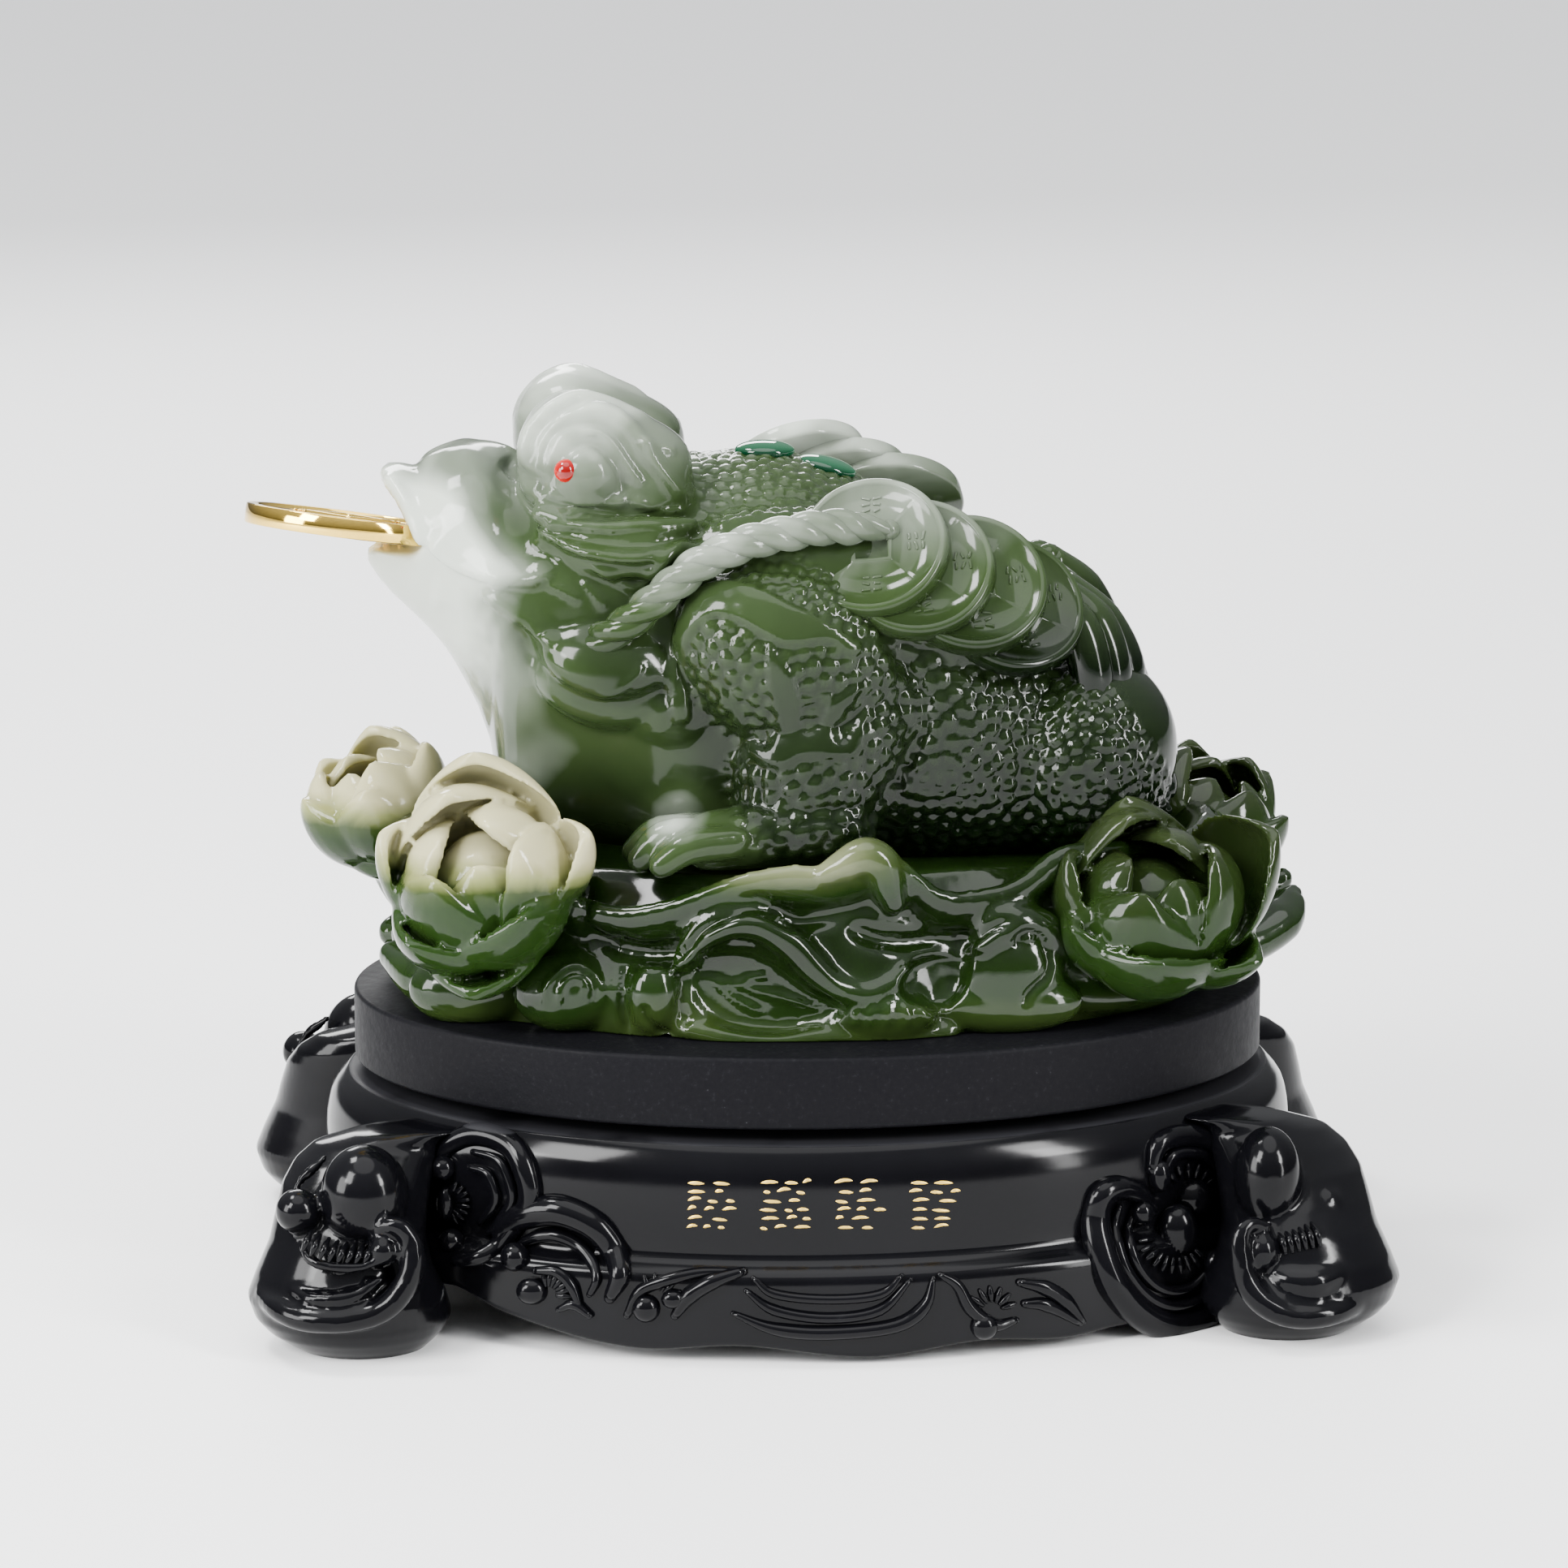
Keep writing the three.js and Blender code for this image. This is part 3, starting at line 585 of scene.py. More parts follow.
def own_axes(tree):
    """A piece's own coordinates one by one, in metres."""
    return node(tree, "ShaderNodeSeparateXYZ", {0: own_place(tree)}).outputs


def clouds(tree, scale, detail, roughness=0.5, distortion=0.0):
    """Cloudy noise over a piece's own coordinates."""
    return node(tree, "ShaderNodeTexNoise", {"Vector": own_place(tree), "Scale": scale, "Detail": detail,
                                             "Roughness": roughness, "Distortion": distortion}).outputs["Fac"]


def colour_along(tree, principled, value, stops):
    """Colours a shader by a value that is read between stops (place, colour)."""
    made = node(tree, "ShaderNodeValToRGB", {"Fac": value})
    elements = made.color_ramp.elements
    while len(elements) < len(stops):
        elements.new(0.5)
    for element, (place, colour) in zip(elements, stops):
        element.position = place
        element.color = (*colour, 1)
    tree.links.new(made.outputs["Color"], principled.inputs["Base Color"])


def times(colour, share):
    """A colour at a share of its brightness."""
    return tuple(c * share for c in colour)


def new_group(name, inputs, outputs):
    """An empty shader group with its numbers in, each with its plain value, and its numbers out."""
    tree = bpy.data.node_groups.new(name, "ShaderNodeTree")
    for label, value in inputs.items():
        tree.interface.new_socket(label, in_out="INPUT", socket_type="NodeSocketFloat").default_value = value
    for label in outputs:
        tree.interface.new_socket(label, in_out="OUTPUT", socket_type="NodeSocketFloat")
    return tree, node(tree, "NodeGroupInput").outputs, node(tree, "NodeGroupOutput").inputs


# The jade's tone, with places in metres: along the toad, downwards and in its clouds; and, by the skin's
# relief, a painted shade between the warts and a painted highlight on their tops
TONE_ALONG = ((-0.105, 0.085), (0.03, 0.3))
TONE_DOWN = ((0.235, 0.105), (0.0, 0.72))
TONE_CLOUDS = (-0.16, 0.16)
RELIEF_SHADING = 0.25


def tone_group():
    """A shader group: how deep the jade's tone is, from 0 at the pale head to 1 at the dark rump, with
    painted shade between the warts, painted highlights on their tops and the tint patches added.
    """
    tree, source, target = new_group("Jade Tone", {"Shift": 0.0}, ("Tone",))
    axes = own_axes(tree)
    tone = reckon(tree, "ADD", carried(tree, axes["X"], *TONE_ALONG, clamp=False),
                  carried(tree, axes["Z"], *TONE_DOWN, clamp=False))
    tone = reckon(tree, "ADD", tone, carried(tree, clouds(tree, 22.0, 3.0, 0.55, 0.6), after=TONE_CLOUDS))
    relief, tint = (node(tree, "ShaderNodeAttribute", attribute_name=name).outputs["Fac"]
                    for name in ("relief", "tint"))
    # Painted shade and highlight: deeper tone in the hollows between warts, paler on their tops
    raised = reckon(tree, "MULTIPLY", reckon(tree, "SUBTRACT", relief, 0.5), RELIEF_SHADING)
    tone = reckon(tree, "SUBTRACT", tone, raised)
    tone = reckon(tree, "ADD", tone, source["Shift"])
    # The tint adds the skin's tone patches, among them painted highlights and painted light on shaded parts
    tree.links.new(reckon(tree, "ADD", tone, tint), target["Tone"])
    return tree


def polish_group():
    """A shader group: the fine unevenness of a polished casting, as roughness and bump height."""
    tree, source, target = new_group("Polish", {"Roughness": 0.1, "Variation": 0.05, "Scale": 60.0},
                                     ("Roughness Out", "Height"))
    grain = clouds(tree, source["Scale"], 4.0, 0.6)
    swing = reckon(tree, "MULTIPLY", grain, source["Variation"])
    tree.links.new(reckon(tree, "ADD", swing, source["Roughness"]), target["Roughness Out"])
    tree.links.new(grain, target["Height"])
    return tree


def new_material(name, shader):
    """A material with a Principled shader whose plain values are set on its own sockets."""
    material = bpy.data.materials.new(name)
    material.use_nodes = True
    principled = material.node_tree.nodes["Principled BSDF"]
    for key, value in shader.items():
        principled.inputs[key].default_value = value
    return material, material.node_tree, principled


def add_polish(tree, principled, roughness, variation, scale, bump, distance=0.0002):
    """Places the polish group in a material, with a fine bump. Gives its roughness back."""
    polish = node(tree, "ShaderNodeGroup", {"Roughness": roughness, "Variation": variation, "Scale": scale},
                  node_tree=bpy.data.node_groups.get("Polish") or polish_group())
    tree.links.new(polish.outputs["Roughness Out"], principled.inputs["Roughness"])
    raised = node(tree, "ShaderNodeBump", {"Strength": bump, "Distance": distance,
                                           "Height": polish.outputs["Height"]})
    tree.links.new(raised.outputs["Normal"], principled.inputs["Normal"])
    return polish.outputs["Roughness Out"]


def jade_material(name, shift=0.0):
    """The jade-look resin, darker where the jade's tone is deeper. A shift deepens or pales the whole."""
    material, tree, principled = new_material(name, {
        "IOR": 1.3, "Subsurface Weight": 0.15, "Subsurface Scale": 0.004,
        "Subsurface Radius": (1.0, 1.1, 0.8), "Coat Weight": 0.05, "Coat Roughness": 0.01})
    tone = node(tree, "ShaderNodeGroup", {"Shift": shift},
                node_tree=bpy.data.node_groups.get("Jade Tone") or tone_group())
    colour_along(tree, principled, tone.outputs["Tone"], toad_stops())
    add_polish(tree, principled, 0.07, 0.08, 120.0, 0.04)
    return material


def toad_stops():
    """The jade's colours by its tone."""
    look = bpy.context.scene.toad_finish
    pale, mid, deep = (tuple(c) for c in (look.pale_jade, look.mid_jade, look.deep_jade))
    between = tuple(0.22 * a + 0.78 * b for a, b in zip(pale, mid))
    dark = tuple(0.32 * a + 0.68 * b for a, b in zip(mid, deep))
    return [(0.1, pale), (0.21, between), (0.32, mid), (0.62, dark), (0.86, deep)]


# The toad's trunk, in millimetres, with heights above the figure's own underside
TRUNK_TOP = ((-110, 122), (-107, 129.5), (-104, 131.6), (-100, 131.2), (-96.5, 132.4), (-92, 135.6),
             (-86, 138), (-81, 137.4), (-76, 135), (-70, 134), (-60, 136), (-45, 136), (-28, 134),
             (-11, 135), (4, 131), (23, 123), (42, 112), (58, 99), (69, 87), (78, 71), (86, 58), (91, 49))
TRUNK_BOTTOM = ((-110, 108), (-106, 102), (-98, 94), (-91, 86), (-85, 75), (-80, 62), (-76, 36),
                (-60, 33), (60, 33), (91, 38))
TRUNK_HALF_WIDTH = ((-110, 6), (-107, 12), (-102, 17), (-96, 22), (-86, 27), (-74, 33), (-58, 38),
                    (-40, 40), (-20, 41), (0, 44), (22, 46), (42, 44), (58, 38), (70, 30), (80, 21),
                    (91, 8))
TRUNK_STEP = 3.0
TRUNK_SIDES = 72


def trunk_ring(x):
    """The trunk's outline across the body at a place along it."""
    top, bottom = along(TRUNK_TOP, x), along(TRUNK_BOTTOM, x)
    half = along(TRUNK_HALF_WIDTH, x)
    head = smoothstep(20, 66, -x)
    centre = bottom + (top - bottom) * (0.48 + 0.16 * head)
    points = []
    for a in angles(TRUNK_SIDES, 0.5):
        c, s = math.cos(a), math.sin(a)
        power = 2.9 - 1.45 * head if s < 0 else 2.1
        grow = (abs(c) ** power + abs(s) ** power) ** (-1 / power)
        reach = centre - bottom if s < 0 else top - centre
        points.append((x, half * c * grow, centre + reach * s * grow))
    return points


# Pads between the lower lid and the cheek, each with its route and its radii
CHEEK_PADS = ((((-68, -29.5, 125), (-56, -33.5, 121.8), (-42, -35.5, 121.4), (-31, -33, 122.5)),
               (2.4, 4, 4, 2)), (((-67, -30, 118.5), (-55, -36, 115.4), (-41, -38.5, 114.8),
                                  (-30, -36, 116.5)), (2.2, 4.2, 4.2, 2)))

# The open mouth, seen from the side
MOUTH_OUTLINE = ((-130, 146), (-108.5, 131), (-103, 126), (-99, 119.5), (-95.5, 115.5), (-99, 112.8),
                 (-112, 111.4), (-130, 108))

# How far the mouth's wedge reaches to either side
MOUTH_REACH = 50


def cut_mouth(bm):
    """Takes the wedge of the open mouth out of the head."""
    head = link("head", plain_mesh("head", bm))
    wedge = bmesh.new()
    corners = [wedge.verts.new((x, -MOUTH_REACH, z)) for x, z in MOUTH_OUTLINE]
    face = bmesh.ops.contextual_create(wedge, geom=corners)
    side = bmesh.ops.extrude_face_region(wedge, geom=face["faces"])["geom"]
    moved = [item for item in side if isinstance(item, bmesh.types.BMVert)]
    bmesh.ops.translate(wedge, vec=(0, 2 * MOUTH_REACH, 0), verts=moved)
    cutter = link("wedge", plain_mesh("wedge", wedge))
    cut = head.modifiers.new("Mouth", "BOOLEAN")
    cut.operation = "DIFFERENCE"
    cut.solver = "EXACT"
    cut.object = cutter
    mesh = evaluated_mesh(head, "head")
    bpy.data.objects.remove(cutter)
    fresh = bmesh.new()
    fresh.from_mesh(mesh)
    bpy.data.meshes.remove(mesh)
    return fresh


# The dome over an eye, seen from the side: its middle, its outline, and its rings, each a share of the
# outline with the millimetres that it lies outward and forward
HOOD_CENTRE = (-53.0, 133.0)
HOOD_OUTLINE = ((-72.9, 133), (-73, 137.5), (-72.3, 142.1), (-69.8, 147.2), (-66.2, 150.8), (-60.1, 153),
                (-54.1, 152), (-48, 150), (-42, 147), (-35.9, 143.8), (-31.7, 139.8), (-30.2, 134.3),
                (-31, 127), (-35, 122), (-43, 119.5), (-53, 118.5), (-62, 120.5), (-68.5, 124.5),
                (-71.8, 128.7))
HOOD_RINGS = ((0.6, 4, 1), (0.84, 8, 0.5), (0.95, 12, 0), (1.0, 16, 0), (1.01, 20, 0), (0.98, 24, 0),
              (0.89, 27.5, 0), (0.78, 29.3, -0.5), (0.6, 30.2, -1), (0.3, 30.6, -1), (0.08, 30.6, -1))
HOOD_STEPS = 3


def on_side(point, side):
    """A point given on the near side, or its like on the far side. Side -1 is near."""
    return (point[0], -side * point[1], *point[2:])


def eye_hood(bm, side):
    """The shell-like dome over an eye, with the eyeball in it and the pads under it."""
    outline = spline([(*p, 0) for p in (*HOOD_OUTLINE, HOOD_OUTLINE[0])], HOOD_STEPS)[:-1]
    rings = []
    for share, out, forward in spline(HOOD_RINGS, HOOD_STEPS):
        points = []
        for edge in outline:
            x = HOOD_CENTRE[0] + forward + (edge.x - HOOD_CENTRE[0]) * share
            rise = (edge.y - HOOD_CENTRE[1]) * share
            points.append(on_side((x, -out + 0.12 * rise, HOOD_CENTRE[1] + rise), side))
        rings.append(points)
    loft(bm, rings)
    ball(bm, on_side((-56.3, -26.3, 134.6), side), (9.6, 9.4, 8.2))
    ball(bm, on_side((-40, -20, 126), side), (11, 10, 13), (0, -35, 0))
    for route, radii in CHEEK_PADS:
        bar(bm, [on_side(p, side) for p in route], radii)


def front_leg(bm, side):
    """Haunch, calf, foot and toes of one front leg."""
    def place(point):
        return on_side(point, side)
    ball(bm, place((-6, -39, 90)), (29.5, 16.5, 23), (0, 24, 0), level=4)
    ball(bm, place((-14, -38, 96)), (22, 15, 17), (0, 10, 0))
    ball(bm, place((-1, -40, 62)), (20, 15, 25), (0, 14, 0), level=4)
    ball(bm, place((8, -42, 70)), (14, 11, 18), (0, 10, 0))
    bar(bm, [place(p) for p in ((4, -46, 49), (-14, -48, 48), (-28, -50, 47))], (10, 8.5, 7.5))
    for spread, reach, lift in ((-10, -1, 0), (-3, 4, 1.5), (5, 5, 1), (12, 1, 0)):
        toe = ((-22, -50 + spread * 0.5, 48), (-34 - reach, -50 + spread * 0.85, 47.5 + lift),
               (-41 - reach, -50 + spread, 43.5))
        bar(bm, [place(p) for p in toe], (4.6, 4.3, 3.4), sides=12)


def toad_forms():
    """The toad's rounded forms, before they get one skin."""
    bm = bmesh.new()
    count = int((TRUNK_TOP[-1][0] - TRUNK_TOP[0][0]) / TRUNK_STEP)
    loft(bm, [trunk_ring(TRUNK_TOP[0][0] + TRUNK_STEP * k) for k in range(count + 1)])
    bm = cut_mouth(bm)
    for side in (-1, 1):
        eye_hood(bm, side)
        front_leg(bm, side)
        ball(bm, (-50, 32.5 * side, 86), (21, 13.5, 14.5), (0, 10, 0), level=4)
        ball(bm, (-36, 31 * side, 79), (17, 12.5, 14), (0, 20, 0))
        ball(bm, (-3, 26.5 * side, 111), (35, 16.5, 14.5), (0, 3, 0), level=4)
        ball(bm, (66, 24 * side, 62), (24, 22, 26), (0, 20, 0), level=4)
        string = NEAR_STRING if side < 0 else FAR_STRING
        ledge = (30 + string["forward"], (34 - string["inward"]) * side, 99 + string["up"])
        ball(bm, ledge, (27, 11, 13), (0, 16, 0), level=4)
    ball(bm, (-101.4, 0, 129.6), (5.6, 10, 3), (0, 8, 0))
    ball(bm, (-84.5, 0, 132.2), (13, 13, 5.8), (0, -6, 0))
    bar(bm, ((58, 0, 97), (69, 0, 84), (80, 0, 65), (90, 0, 48)), (5, 8, 8.5, 4))
    return bm


# Folds of the head and body, in the photograph's pixels
# A fold has its width and height in millimetres, the share of its width on its right side, and its route.
HEAD_FOLDS = (
    (1.8, 1.9, 0.8, ((474, 583), (487, 600), (500, 620), (510, 641), (519, 660), (526, 674))),
    (4.0, 2.6, 0.3, ((525, 660), (544, 681), (575, 700), (617, 714), (657, 718), (686, 702))),
    (3.4, 2.4, 0.35, ((594, 725), (613, 740), (636, 757), (659, 782), (684, 799))),
    (1.3, 0.8, 0.6, ((670, 719), (693, 728), (716, 742))),
    (1.3, 0.8, 0.6, ((716, 715), (732, 732), (745, 750))),
    (2.2, 2.2, 0.35, ((663, 648), (674, 662), (697, 677), (728, 686), (770, 692), (812, 691))),
    (1.4, -1.2, 1.0, ((664, 658), (691, 683), (719, 694), (756, 700), (792, 701), (814, 694))),
    (1.8, 1.3, 0.6, ((724, 693), (751, 709), (774, 723), (789, 724), (810, 702), (831, 679), (858, 662))),
    (1.2, 1.1, 0.7, ((667, 599), (685, 611), (700, 616), (731, 617), (762, 616), (776, 614))),
    (1.1, -1.1, 1.0, ((691, 637), (713, 636), (750, 636), (805, 629), (845, 624))),
    (1.0, -0.8, 1.0, ((688, 654), (719, 657), (756, 660), (783, 657), (815, 655))),
    (1.2, 0.8, 0.8, ((700, 626), (719, 626), (746, 623), (774, 621))),
    (1.5, 1.6, 0.7, ((641, 586), (646, 553), (653, 531), (670, 511), (688, 498), (710, 489), (734, 489),
                     (762, 495), (792, 510), (809, 518))),
    (1.2, -0.8, 1.0, ((650, 590), (655, 560), (662, 537), (678, 517), (697, 503), (716, 496), (740, 496),
                      (768, 504), (792, 518))),
    (1.9, 1.9, 0.7, ((710, 504), (734, 504), (756, 511), (777, 528), (792, 547), (805, 568), (820, 588),
                     (835, 606), (849, 623))),
    (1.3, 0.9, 0.8, ((789, 542), (811, 550), (834, 557))),
    (1.4, 1.2, 0.8, ((714, 531), (734, 531), (750, 539), (763, 554), (774, 571), (783, 585), (792, 599))),
    (1.4, -1.2, 1.0, ((671, 586), (668, 562), (677, 540), (691, 526), (710, 520), (731, 520), (750, 528),
                      (765, 544), (777, 562), (792, 582), (805, 599))),
    (1.1, -1.2, 1.0, ((685, 599), (685, 580), (693, 563), (710, 549), (722, 545), (734, 547), (750, 561),
                      (762, 580), (768, 599), (771, 611))),
    (1.6, 1.4, 0.4, ((777, 614), (797, 626), (823, 628), (848, 627))),
    (2.0, 0.5, 1.0, ((510, 576), (533, 562), (559, 556), (586, 560), (605, 571), (617, 578))),
    (1.8, -1.8, 1.0, ((621, 562), (636, 583), (663, 595), (666, 610))),
    (2.6, -2.2, 1.0, ((636, 763), (647, 797), (666, 832), (693, 855), (732, 870), (777, 870), (816, 855),
                      (827, 847))),
    (0.9, 0.7, 1.0, ((732, 856), (758, 854), (781, 836), (791, 816))),
    (5.0, 0.9, 0.6, ((529, 732), (556, 736), (582, 748), (609, 763), (636, 782))),
    (2.0, -2.2, 1.0, ((1084, 784), (1110, 810), (1131, 840), (1140, 870), (1136, 905), (1123, 931),
                      (1110, 957), (1092, 983), (1079, 1000), (1062, 1039))),
)
HAUNCH_BAND = ((830, 890), (824, 850), (826, 812), (833, 779), (845, 745), (860, 726), (885, 717),
               (915, 719), (945, 730), (975, 746), (1001, 757), (1039, 779), (1061, 801), (1046, 808),
               (1026, 792), (1001, 792), (965, 794), (939, 781), (909, 764), (883, 759), (863, 769),
               (850, 792), (845, 822), (846, 850), (848, 885))
DRAPE = ((891, 849), (910, 870), (925, 901), (940, 920), (953, 918), (958, 896), (953, 866), (947, 844),
         (945, 814), (947, 794), (962, 810), (979, 836), (988, 870), (988, 896), (997, 905), (1010, 896),
         (1016, 875), (1040, 853), (1062, 844), (1049, 866), (1032, 888), (1025, 907), (1036, 916),
         (1049, 905), (1062, 883), (1066, 909), (1062, 927), (1040, 935), (1010, 933), (984, 935),
         (966, 946), (945, 942), (927, 931), (914, 905), (901, 879), (888, 862))
CALF_WARTS = ((893, 925), (945, 948), (1006, 940), (1075, 931), (1133, 900), (1120, 957), (1090, 1000),
              (1064, 1045), (975, 1058), (925, 1050), (901, 1000), (889, 957))
HAUNCH_WARTS = ((838, 758), (884, 758), (923, 779), (966, 797), (1023, 792), (1079, 795), (1133, 840),
                (1144, 879), (1128, 918), (1066, 940), (997, 935), (932, 935), (885, 900), (842, 850),
                (828, 801))
FLANK = ((1084, 740), (1214, 775), (1310, 770), (1370, 840), (1440, 948), (1440, 1020), (1322, 1040),
         (1170, 1060), (1055, 1060), (1100, 957), (1135, 879), (1112, 810))
DROP_FLANK = ((1160, 740), (1310, 760), (1370, 840), (1450, 948), (1450, 1040), (1322, 1060),
              (1060, 1070), (1120, 1000), (1180, 930), (1190, 860))
BACK_FACETS = ((845, 545), (905, 530), (1100, 560), (1200, 640), (1150, 660), (975, 635), (920, 640),
               (867, 650), (858, 600))
SHOULDER_BUMPS = ((880, 680), (962, 668), (1000, 690), (1040, 720), (1100, 775), (1040, 782), (997, 752),
                  (953, 730), (900, 712))


# Patches whose tone is deeper, or paler if negative, with the softness of their borders in millimetres. Some
# are painted light: painted highlights on the snout's side and the haunch's band, and painted light on the
# shaded throat and chest.
BODY_SHADES = (
    (-0.325, 8, ((790, 1030), (800, 985), (850, 968), (895, 990), (935, 1030), (930, 1080), (800, 1080))),
    # Throat and chin made paler: partly the jade's pale underside, partly painted light on the shade under
    # the head
    (-0.37, 30, ((430, 640), (490, 655), (545, 690), (602, 735), (645, 785), (685, 845), (696, 905),
                 (672, 970), (600, 985), (540, 920), (500, 800), (425, 720))),
    # Painted light: the low chest made paler to lift its shade
    (-0.22, 14, ((640, 940), (700, 900), (800, 875), (850, 930), (860, 1020), (800, 1045), (720, 1045),
                 (640, 1010))),
    # Painted highlight: the snout's side made paler where a broad highlight falls
    (-0.15, 13, ((474, 586), (520, 596), (566, 606), (590, 650), (640, 690), (690, 712), (640, 722),
                 (585, 706), (540, 680), (508, 640))),
    (0.06, 6, ((640, 765), (700, 800), (760, 868), (835, 880), (842, 830), (800, 800), (740, 788),
               (690, 765))),
    # Painted highlight: the smooth band on the haunch made paler where a highlight falls
    (-0.08, 2, HAUNCH_BAND),
)


# How far the drape and the band on the haunch stand out, in millimetres
DRAPE_HEIGHT = 1.3
BAND_HEIGHT = 1.4


def carve_toad(clay):
    """Cuts the folds and raises the warts of the toad's skin."""
    for width, height, sharp, route in HEAD_FOLDS:
        clay.line(route, width, height, sharp)
    # Tone patches, among them painted highlights and painted light on shaded parts
    for amount, soft, outline in BODY_SHADES:
        clay.shade(outline, amount, soft)
    drape = clay.outline_weight(DRAPE, 1.4)
    band = clay.outline_weight(HAUNCH_BAND, 1.8)
    clay.push((DRAPE_HEIGHT * drape + BAND_HEIGHT * band) * (clay.facing > 0))
    height = bpy.context.scene.toad_sizes.wart_height
    bare = 1 - np.maximum(clay.outline_weight(DRAPE, 1.4), clay.outline_weight(HAUNCH_BAND, 1.6))
    facing = np.clip(clay.facing * 2, 0, 1)
    leg = np.maximum(clay.outline_weight(HAUNCH_WARTS, 3), clay.outline_weight(CALF_WARTS, 3)) * bare * facing
    drops = clay.outline_weight(DROP_FLANK, 6) * clay.outline_weight(FLANK, 2) * facing
    scales = clay.outline_weight(FLANK, 2) * facing * (1 - drops) * (1 - leg)
    back = clay.outline_weight(BACK_FACETS, 3) * facing
    shoulder = clay.outline_weight(SHOULDER_BUMPS, 2) * facing * bare
    clay.warts(leg, 4.2, height, 3)
    clay.warts(scales, 4.4, height * 0.9, 5)
    clay.warts(drops * (1 - leg), 3.8, height * 1.4, 7, drop=(0.8, 0.0, -0.6))
    clay.warts(back, 3.4, height * 1.2, 9, drop=(0.3, 0.0, 0.9), valley=0.25)
    clay.warts(shoulder, 3.4, height * 1.1, 11)


# How deep the body sinks into the leaf's top, in millimetres
FOOT_SINK = 3.5


class OBJECT_OT_toad_body(bpy.types.Operator):
    """Models the toad's body with its folds and warts"""
    bl_idname = "object.toad_body"
    bl_label = "Toad Body"

    def execute(self, context):
        sizes = context.scene.toad_sizes
        mesh = skin("toad_body", toad_forms(), sizes.body_grain, 5, FIGURE_Z)
        cut_below(mesh, FIGURE_Z + LEAF_TOP - FOOT_SINK)
        clay = Clay(mesh)
        carve_toad(clay)
        finish_piece("toad_body", clay.done(), jade_material("jade_body"), "turntable", ["jade_toad"])
        return {"FINISHED"}


# Coin strings over the flanks. A coin has its centre and the degrees that its face turns to the rear.
ROPE_ROUTE = ((17, -38.5, 121.5), (8, -41, 122.7), (0.4, -42, 123), (-7.2, -43, 122), (-14.8, -44, 120.7),
              (-22.4, -44.5, 118.3), (-29.5, -44.5, 114.9), (-35.5, -44.5, 110.2), (-41, -44.5, 105.5),
              (-46.5, -43.5, 100.7), (-52.5, -40.5, 96), (-59, -34, 91), (-64, -25, 87.5), (-65, -14, 86))
ROPE_RADIUS = 4.4
ROPE_PITCH = 22.0
# A strand's own radius and its distance from the rope's middle, as shares of the rope's radius
STRAND_THICKNESS = 0.73
STRAND_OFFSET = 0.33
STRING_COINS = ((13, -38, 117, -4), (24, -40, 112, 4), (37, -40, 108, 16), (47, -36, 102, 28))
STRING_COIN_RADIUS = 18.5
STRING_COIN_THICKNESS = 5.0
STRING_COIN_TIP = -9
NEAR_STRING = {"coins": 4, "forward": 0, "inward": 0, "up": 0, "lean": 50}
FAR_STRING = {"coins": 3, "forward": -14, "inward": 5, "up": 8, "lean": 42}
COIN_SIDES = 96


def coin_circle(radius, height):
    return oval(radius, radius, height, angles(COIN_SIDES))


def coin_square(half, height):
    """A square loop with as many points as the coin's circles."""
    points = []
    for x, y, z in coin_circle(1, height):
        reach = half / max(abs(x), abs(y))
        points.append((x * reach, y * reach, z))
    return points


def placed(points, matrix):
    return [matrix @ Vector(point) for point in points]


def stroke(bm, matrix, size, soft):
    """One short stroke: a small box with softened edges."""
    part = bmesh.new()
    bmesh.ops.create_cube(part, size=1.0, matrix=matrix @ Matrix.Diagonal((*size, 1)))
    bmesh.ops.bevel(part, geom=part.edges[:], offset=soft, offset_type="OFFSET", affect="EDGES", segments=2,
                    profile=0.5, material=-1)
    add_part(bm, part)


def coin_marks(bm, matrix, reach, height, seed):
    """Four groups of short raised strokes round a coin's hole."""
    chance = random.Random(seed)
    for turn in range(4):
        group = matrix @ Matrix.Rotation(math.tau * turn / 4, 4, "Z")
        for row in range(3):
            for column in range(2):
                place = Vector((reach + (row - 1) * 1.7, (column - 0.5) * 2.7, height))
                turned = Matrix.Rotation(math.radians(chance.uniform(-28, 28)), 4, "Z")
                length = chance.uniform(1.6, 2.5)
                stroke(bm, group @ (Matrix.Translation(place) @ turned), (0.65, length, 0.7), 0.15)


def string_coin(bm, side, string, coin, seed):
    """A cast coin with a thin raised rim, a square hole and four groups of strokes."""
    x, y, z, yaw = coin
    relief = bpy.context.scene.toad_sizes.coin_relief
    matrix = (Matrix.Diagonal((1, -side, 1, 1))
              @ Matrix.Translation((x + string["forward"], y + string["inward"], z + string["up"]))
              @ Matrix.Rotation(math.radians(yaw), 4, "Z")
              @ Matrix.Rotation(math.radians(string["lean"]), 4, "X")
              @ Matrix.Rotation(math.radians(STRING_COIN_TIP), 4, "Y"))
    half = STRING_COIN_THICKNESS / 2
    field = half - relief
    radius = STRING_COIN_RADIUS
    rings = [coin_square(3.6, field - 1.2), coin_square(3.9, field), coin_square(4.0, half - 0.1),
             coin_square(4.2, half - 0.03), coin_square(4.8, half), coin_square(5.0, half - 0.1),
             coin_square(5.1, field + 0.03), coin_circle(radius - 2.0, field),
             coin_circle(radius - 1.8, half - 0.1), coin_circle(radius - 1.6, half),
             coin_circle(radius - 0.7, half + 0.02),
             coin_circle(radius - 0.2, half - 0.25), coin_circle(radius, half - 0.9),
             coin_circle(radius + 0.6, -half + 0.9), coin_circle(radius, -half)]
    loft(bm, [placed(points, matrix) for points in rings])
    coin_marks(bm, matrix, 11.0, field, seed)


